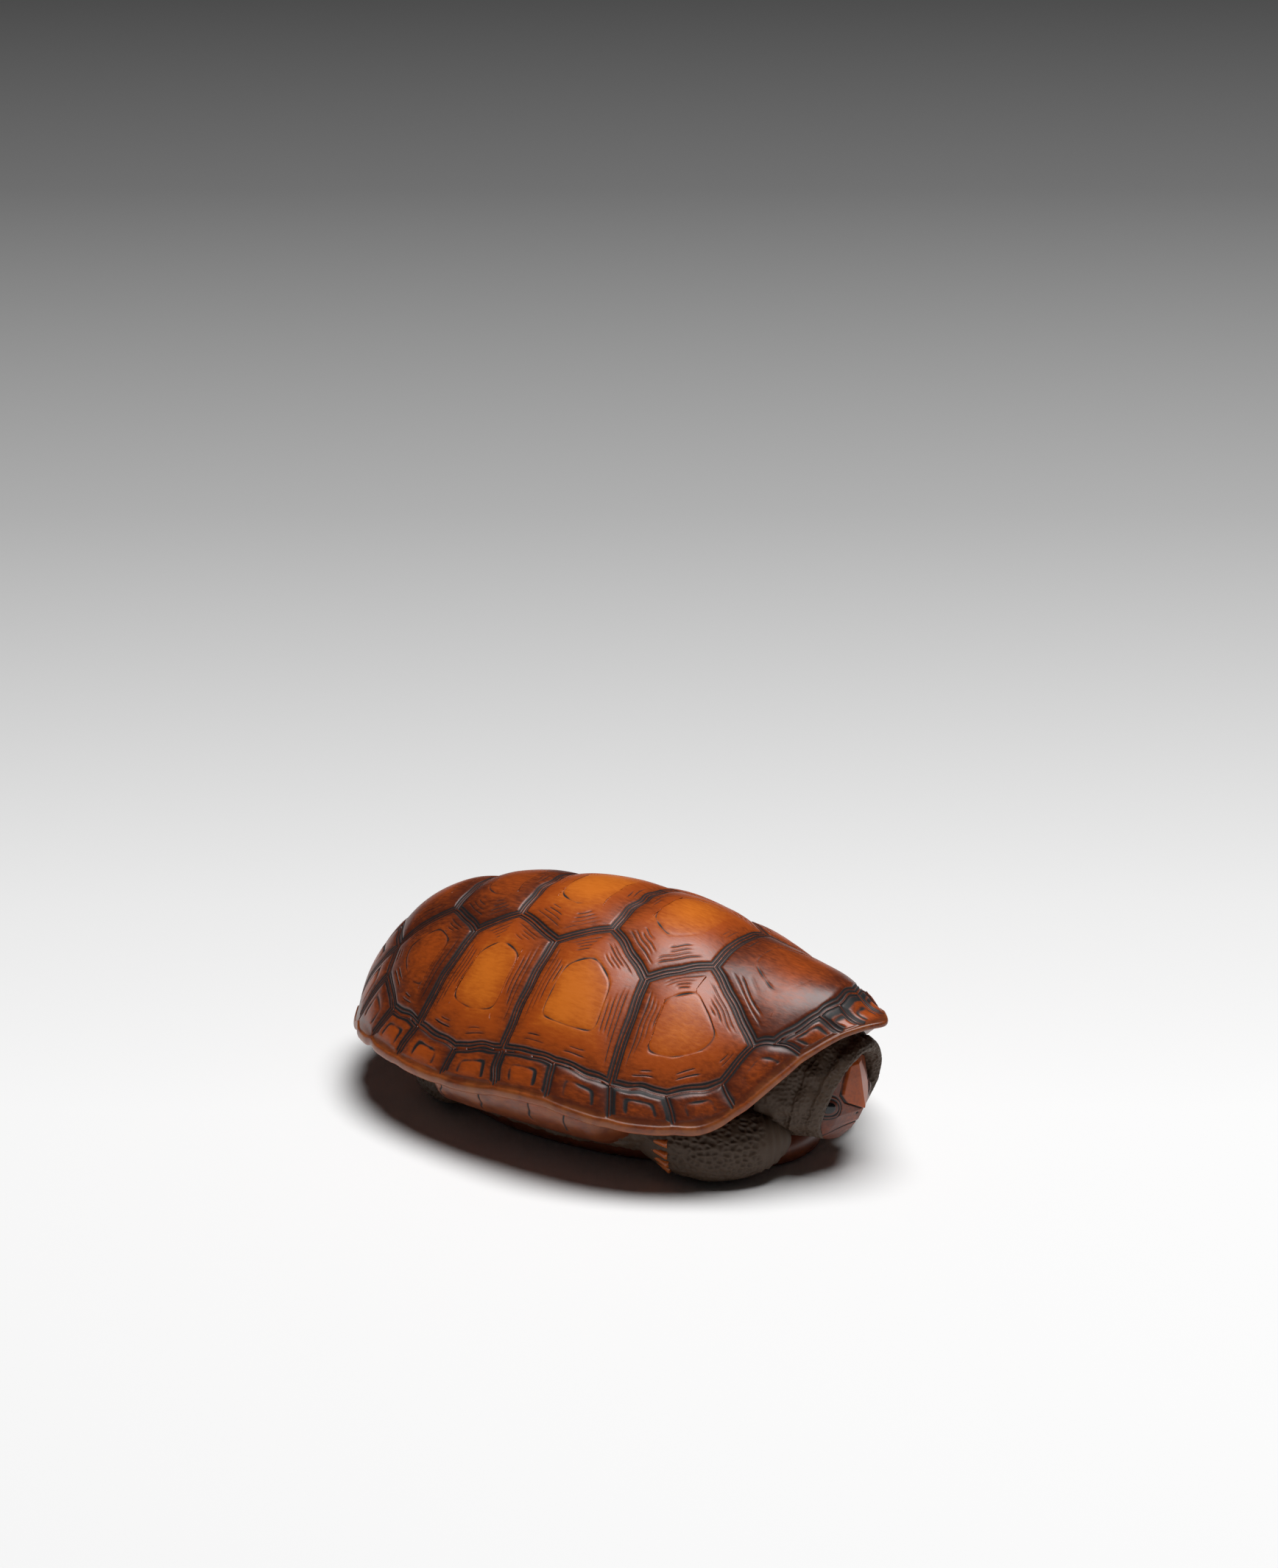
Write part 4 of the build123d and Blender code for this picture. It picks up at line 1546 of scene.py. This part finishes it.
class TURTLE_OT_head(TurtleOperator):
    """Carve the face, the hood of skin round it and the eyes"""

    bl_idname = "turtle.head"
    bl_label = "Head and hood"

    def execute(self, context):
        rows, columns = face_mesh
        turn = 2 * math.pi * np.arange(columns) / columns
        reach = np.linspace(0, 1, rows)[1:, None]
        y = face_half[0] * reach * np.cos(turn)
        z = face_middle + face_half[1] * reach * np.sin(turn)
        x, cut, tone = face_surface(y, z)
        face = np.stack([x, y, z], axis=-1)
        neck = face[-1] * np.array([0, neck_share, neck_share])
        neck = neck + np.array([neck_front, 0, (1 - neck_share) * face_middle])
        points = np.concatenate([neck[None], face[::-1]])
        sheet = Sheet()
        values = {"cut": np.concatenate([0 * cut[:1], cut[::-1]]), "heart": 0.8,
                  "tone": np.concatenate([0.1 + 0 * tone[:1], tone[::-1]])}
        nose = face_surface(np.array(0.0), np.array(face_middle))[0]
        sheet.add(points, values, closed=True, first=(neck_back, 0, face_middle), last=(nose, 0, face_middle))
        piece = ring_piece(sheet, "head_carving")
        piece.data.materials.append(carved_boxwood())
        finish_piece(piece, "polished_boxwood", "head")

        sheet = Sheet()
        points = hood_points(*hood_mesh)
        ends = points[0].mean(axis=0), points[-1].mean(axis=0)
        sheet.add(points, hood_values, closed=True, first=ends[0], last=ends[1])
        skin_piece(sheet, "hood_skin", "hood", "neck_collar")
        for side, word in sides:
            self.eye(side, word)
        return {"FINISHED"}

    def eye(self, side, word):
        """Sets one domed eye between its lids."""
        y, z = eye_place
        step = 0.05
        x = face_surface(np.array(y), np.array(z))[0]
        slope_y = (face_surface(np.array(y + step), np.array(z))[0] - x) / step
        slope_z = (face_surface(np.array(y), np.array(z + step))[0] - x) / step
        ahead = unit(np.array([1.0, -slope_y, -slope_z]))
        across = unit(np.cross([0, 0, 1.0], ahead))
        up = np.cross(ahead, across)
        rows, columns = eye_mesh
        turn = 2 * math.pi * np.arange(columns) / columns
        rings = []
        for bend in np.linspace(-0.5, 0.46, rows) * math.pi:
            ring = across * np.cos(turn)[:, None] * eye_half[0] + up * np.sin(turn)[:, None] * eye_half[1]
            bulge = ahead * (eye_bulge * math.sin(bend) - eye_sink)
            rings.append(np.array([x, y, z]) + ring * math.cos(bend) + bulge)
        rings = on_side(np.array(rings[1:]), side)
        sheet = Sheet()
        sheet.add(rings, {}, closed=True, first=rings[0].mean(axis=0), last=rings[-1].mean(axis=0))
        piece = ring_piece(sheet, f"eye_bead_{word}")
        piece.data.materials.append(dark_horn())
        finish_piece(piece, "dark_horn", f"eye_{word}")


class TURTLE_OT_belly(TurtleOperator):
    """Carve the belly plate with its cord holes, and the bridges to the shell"""

    bl_idname = "turtle.belly"
    bl_label = "Belly plate and bridges"

    def execute(self, context):
        turn = 2 * math.pi * np.arange(belly_points) / belly_points
        edge = belly_outline(turn)
        middle = np.array([(belly_low[0] + belly_high[0]) / 2, 0.0])
        rows, cuts, wears = [], [], []
        for share in np.linspace(0.02, 1, belly_rows):
            inset = np.linalg.norm(edge - middle, axis=1) * (1 - share)
            plan = middle + (edge - middle) * share
            short = np.maximum(belly_edge - inset, 0)
            lift = belly_edge - np.sqrt(np.maximum(belly_edge ** 2 - short ** 2, 0))
            waver = belly_seam_wavers[0] * ripple(plan, *ripples["belly_middle"])
            cut = line_profile(plan[:, 1] / belly_seam_spread + waver)
            waver = belly_seam_wavers[1] * ripple(plan, *ripples["belly_seam"])
            for seam in belly_seams:
                bend = seam * belly_high[0] - belly_seam_lean * np.abs(plan[:, 1]) - plan[:, 0]
                cut = np.maximum(cut, line_profile(bend / belly_seam_spread + waver))
            cut = cut * ease(inset, 0.0, belly_seam_end)
            rows.append(np.concatenate([plan, (lift + belly_seam_depth * cut)[:, None]], axis=1))
            cuts.append(cut)
            wears.append(belly_wear * np.exp(-inset / belly_wear_depth))
        top = np.concatenate([edge, np.full((belly_points, 1), belly_high[2])], axis=1)
        rows.append(top)
        cuts.append(0 * turn)
        wears.append(0 * turn)
        sheet = Sheet()
        # The belly plate's low tone is painted shade
        values = {**belly_shaded_values, "cut": np.array(cuts), "wear": np.array(wears)}
        crown = (middle[0], 0, belly_high[2])
        sheet.add(np.array(rows), values, closed=True, first=(middle[0], 0, 0), last=crown)
        piece = ring_piece(sheet, "belly_plate")
        piece.data.materials.append(carved_boxwood())
        for place, radius in cord_holes:
            self.drill(piece, place, radius)
        finish_piece(piece, "polished_boxwood", "plastron")
        for side, word in sides:
            self.bridge(side, word)
        return {"FINISHED"}

    def drill(self, piece, place, radius):
        """Cuts one cord hole through the belly plate."""
        work = bmesh.new()
        bmesh.ops.create_cone(
            work, cap_ends=True, segments=drill_sides, radius1=radius * MM, radius2=radius * MM,
            depth=4 * belly_high[2] * MM)
        bmesh.ops.translate(work, verts=work.verts, vec=(place * MM, 0, 0))
        mesh = bpy.data.meshes.new("drill")
        work.to_mesh(mesh)
        work.free()
        drill = place_mesh(mesh, "drill")
        cutter = piece.modifiers.new("hole", "BOOLEAN")
        cutter.object = drill
        cutter.solver = "EXACT"
        keep_result(piece, cutter)
        bpy.data.objects.remove(drill)
        bpy.data.meshes.remove(mesh)

    def bridge(self, side, word):
        """Carves one bridge, with dark marks that carry on the shell's seams."""
        x = np.linspace(*bridge_ends, bridge_mesh[0])
        rim = rim_half_width(x / shell_length)
        fade = 1 - ease(x - bridge_ends[0], 0, bridge_fade[0]) * ease(bridge_ends[1] - x, 0, bridge_fade[1])
        drop = np.linspace(0, 1, bridge_mesh[1])[:, None]
        place = np.stack(np.broadcast_arrays(x[None], drop * bridge_depth), axis=-1)
        inset = bridge_inset + bridge_depth * drop ** bridge_curve + bridge_tuck * fade[None]
        inset = inset + bridge_uneven * ripple(place, *ripples["bridge_wall"])
        cut = np.zeros_like(inset)
        for mark in bridge_marks:
            waver = bridge_mark_waver * ripple(place, *ripples["bridge_mark"])
            bend = x[None] - mark + bridge_mark_lean * drop ** bridge_mark_curve + waver
            cut = np.maximum(cut, line_profile(bend) * (1 - ease(drop, *bridge_mark_range)))
        inset = inset + bridge_mark_depth * cut
        top = rim_height(x / shell_length)[None]
        z = top + (bridge_foot - top) * drop + 0 * inset
        outer = np.stack([x[None] + 0 * inset, side * (rim[None] - inset), z], axis=-1)
        inner = outer.copy()
        inner[..., 1] -= side * bridge_thickness
        ring = np.concatenate([outer, inner[::-1]]).transpose(1, 0, 2)
        wear = np.concatenate([bridge_wear * (1 - drop) ** bridge_wear_curve + 0 * inset, 0 * inset]).T
        marks = np.concatenate([cut, 0 * cut]).T
        # Painted shade: the bridge's tone falls to black towards its foot, where it turns under the shell
        # into shadow
        dark = np.concatenate([bridge_tone * (1 - drop) ** 2 + 0 * inset, 0 * inset]).T
        sheet = Sheet()
        values = {"cut": marks, "wear": wear, "tone": dark, "heart": bridge_heart}
        sheet.add(ring, values, closed=True, first=ring[0].mean(axis=0), last=ring[-1].mean(axis=0))
        piece = ring_piece(sheet, f"bridge_wall_{word}")
        piece.data.materials.append(carved_boxwood())
        finish_piece(piece, "polished_boxwood", f"bridge_{word}")


class TURTLE_OT_stage(TurtleOperator):
    """Set out the pale floor, the soft lamp and the camera"""

    bl_idname = "turtle.stage"
    bl_label = "Floor, lamp and camera"

    def execute(self, context):
        stage = context.scene.turtle_stage
        mesh = bpy.data.meshes.new("floor")
        half = floor_half_m
        corners = [(-half, -half, 0), (half, -half, 0), (half, half, 0), (-half, half, 0)]
        mesh.from_pydata(corners, [], [(0, 1, 2, 3)])
        floor = place_mesh(mesh, "floor")
        material, nodes, shader = new_material("pale_floor")
        # Painted shade: the floor's colour darkens with distance away from the camera
        place = nodes.add("ShaderNodeTexCoord").outputs["Object"]
        turned = nodes.add("ShaderNodeMapping", {
            "Vector": place, "Rotation": (0.0, 0.0, -stage.azimuth)}).outputs[0]
        away = nodes.add("ShaderNodeSeparateXYZ", {"Vector": turned}).outputs["Y"]
        ramp = nodes.add("ShaderNodeValToRGB", {"Fac": nodes.math("DIVIDE", away, floor_fade_m)})
        ramp.color_ramp.elements.remove(ramp.color_ramp.elements[0])
        for number, (spot, level) in enumerate(floor_steps):
            element = ramp.color_ramp.elements[0] if number == 0 else ramp.color_ramp.elements.new(spot)
            element.position = spot
            element.color = (level, level, level, 1.0)
        nodes.put(ramp.outputs[0], shader.inputs["Base Color"])
        shader.inputs["Roughness"].default_value = 0.85
        shader.inputs["Specular IOR Level"].default_value = 0.1
        mesh.materials.append(material)

        data = bpy.data.lights.new("key_light", "AREA")
        data.shape = "DISK"
        data.size = lamp_size_m
        data.energy = lamp_power
        lamp = bpy.data.objects.new("key_light", data)
        lamp.location = lamp_place_m
        lamp.rotation_euler = (Vector(lamp_target_m) - lamp.location).to_track_quat("-Z", "Y").to_euler()
        context.scene.collection.objects.link(lamp)
        world = bpy.data.worlds.new("studio")
        world.use_nodes = True
        background = world.node_tree.nodes["Background"]
        background.inputs["Color"].default_value = (1, 1, 1, 1)
        background.inputs["Strength"].default_value = world_strength
        context.scene.world = world
        context.scene.view_settings.view_transform = "Standard"

        data = bpy.data.cameras.new("camera")
        data.lens = camera_lens
        data.sensor_width = camera_sensor
        data.clip_start = 0.01
        camera = bpy.data.objects.new("camera", data)
        flat = math.cos(stage.elevation)
        back = Vector((
            math.sin(stage.azimuth) * flat, -math.cos(stage.azimuth) * flat, math.sin(stage.elevation)))
        camera.location = Vector(camera_target) * MM + back * stage.distance
        pitch = stage.elevation - math.atan(camera_shift[1] * MM / stage.distance)
        turn = stage.azimuth - math.atan(camera_shift[0] * MM / stage.distance)
        camera.rotation_euler = (math.pi / 2 - pitch, 0, turn)
        context.scene.collection.objects.link(camera)
        context.scene.camera = camera
        return {"FINISHED"}


class TURTLE_PT_panel(bpy.types.Panel):
    """Lists the turtle's pieces and sizes"""

    bl_label = "Carved Boxwood Turtle"
    bl_idname = "TURTLE_PT_panel"
    bl_space_type = "VIEW_3D"
    bl_region_type = "UI"
    bl_category = "Turtle"

    def draw(self, context):
        layout = self.layout
        for operator in operators:
            layout.operator(operator.bl_idname)
        for group in (context.scene.turtle_shell, context.scene.turtle_skin,
                      context.scene.turtle_wood, context.scene.turtle_stage):
            box = layout.box()
            for key in group.__annotations__:
                box.prop(group, key)


operators = (TURTLE_OT_vertebrals, TURTLE_OT_costals, TURTLE_OT_marginals, TURTLE_OT_belly, TURTLE_OT_body,
             TURTLE_OT_forelegs, TURTLE_OT_hind_legs, TURTLE_OT_head, TURTLE_OT_stage)
groups = {"turtle_shell": ShellCarving, "turtle_skin": SkinCarving, "turtle_wood": WoodFinish,
          "turtle_stage": StudioStage}


def register():
    """Registers the classes and the scene's settings."""
    for kind in (*groups.values(), *operators, TURTLE_PT_panel):
        bpy.utils.register_class(kind)
    for name, kind in groups.items():
        setattr(bpy.types.Scene, name, PointerProperty(type=kind))


def unregister():
    """Takes the settings and classes away again."""
    for name in groups:
        delattr(bpy.types.Scene, name)
    for kind in reversed((*groups.values(), *operators, TURTLE_PT_panel)):
        bpy.utils.unregister_class(kind)


def main():
    """Builds every piece in order."""
    register()
    bpy.ops.turtle.vertebrals()
    bpy.ops.turtle.costals()
    bpy.ops.turtle.marginals()
    bpy.ops.turtle.belly()
    bpy.ops.turtle.body()
    bpy.ops.turtle.forelegs()
    bpy.ops.turtle.hind_legs()
    bpy.ops.turtle.head()
    bpy.ops.turtle.stage()


if __name__ == "__main__":
    main()
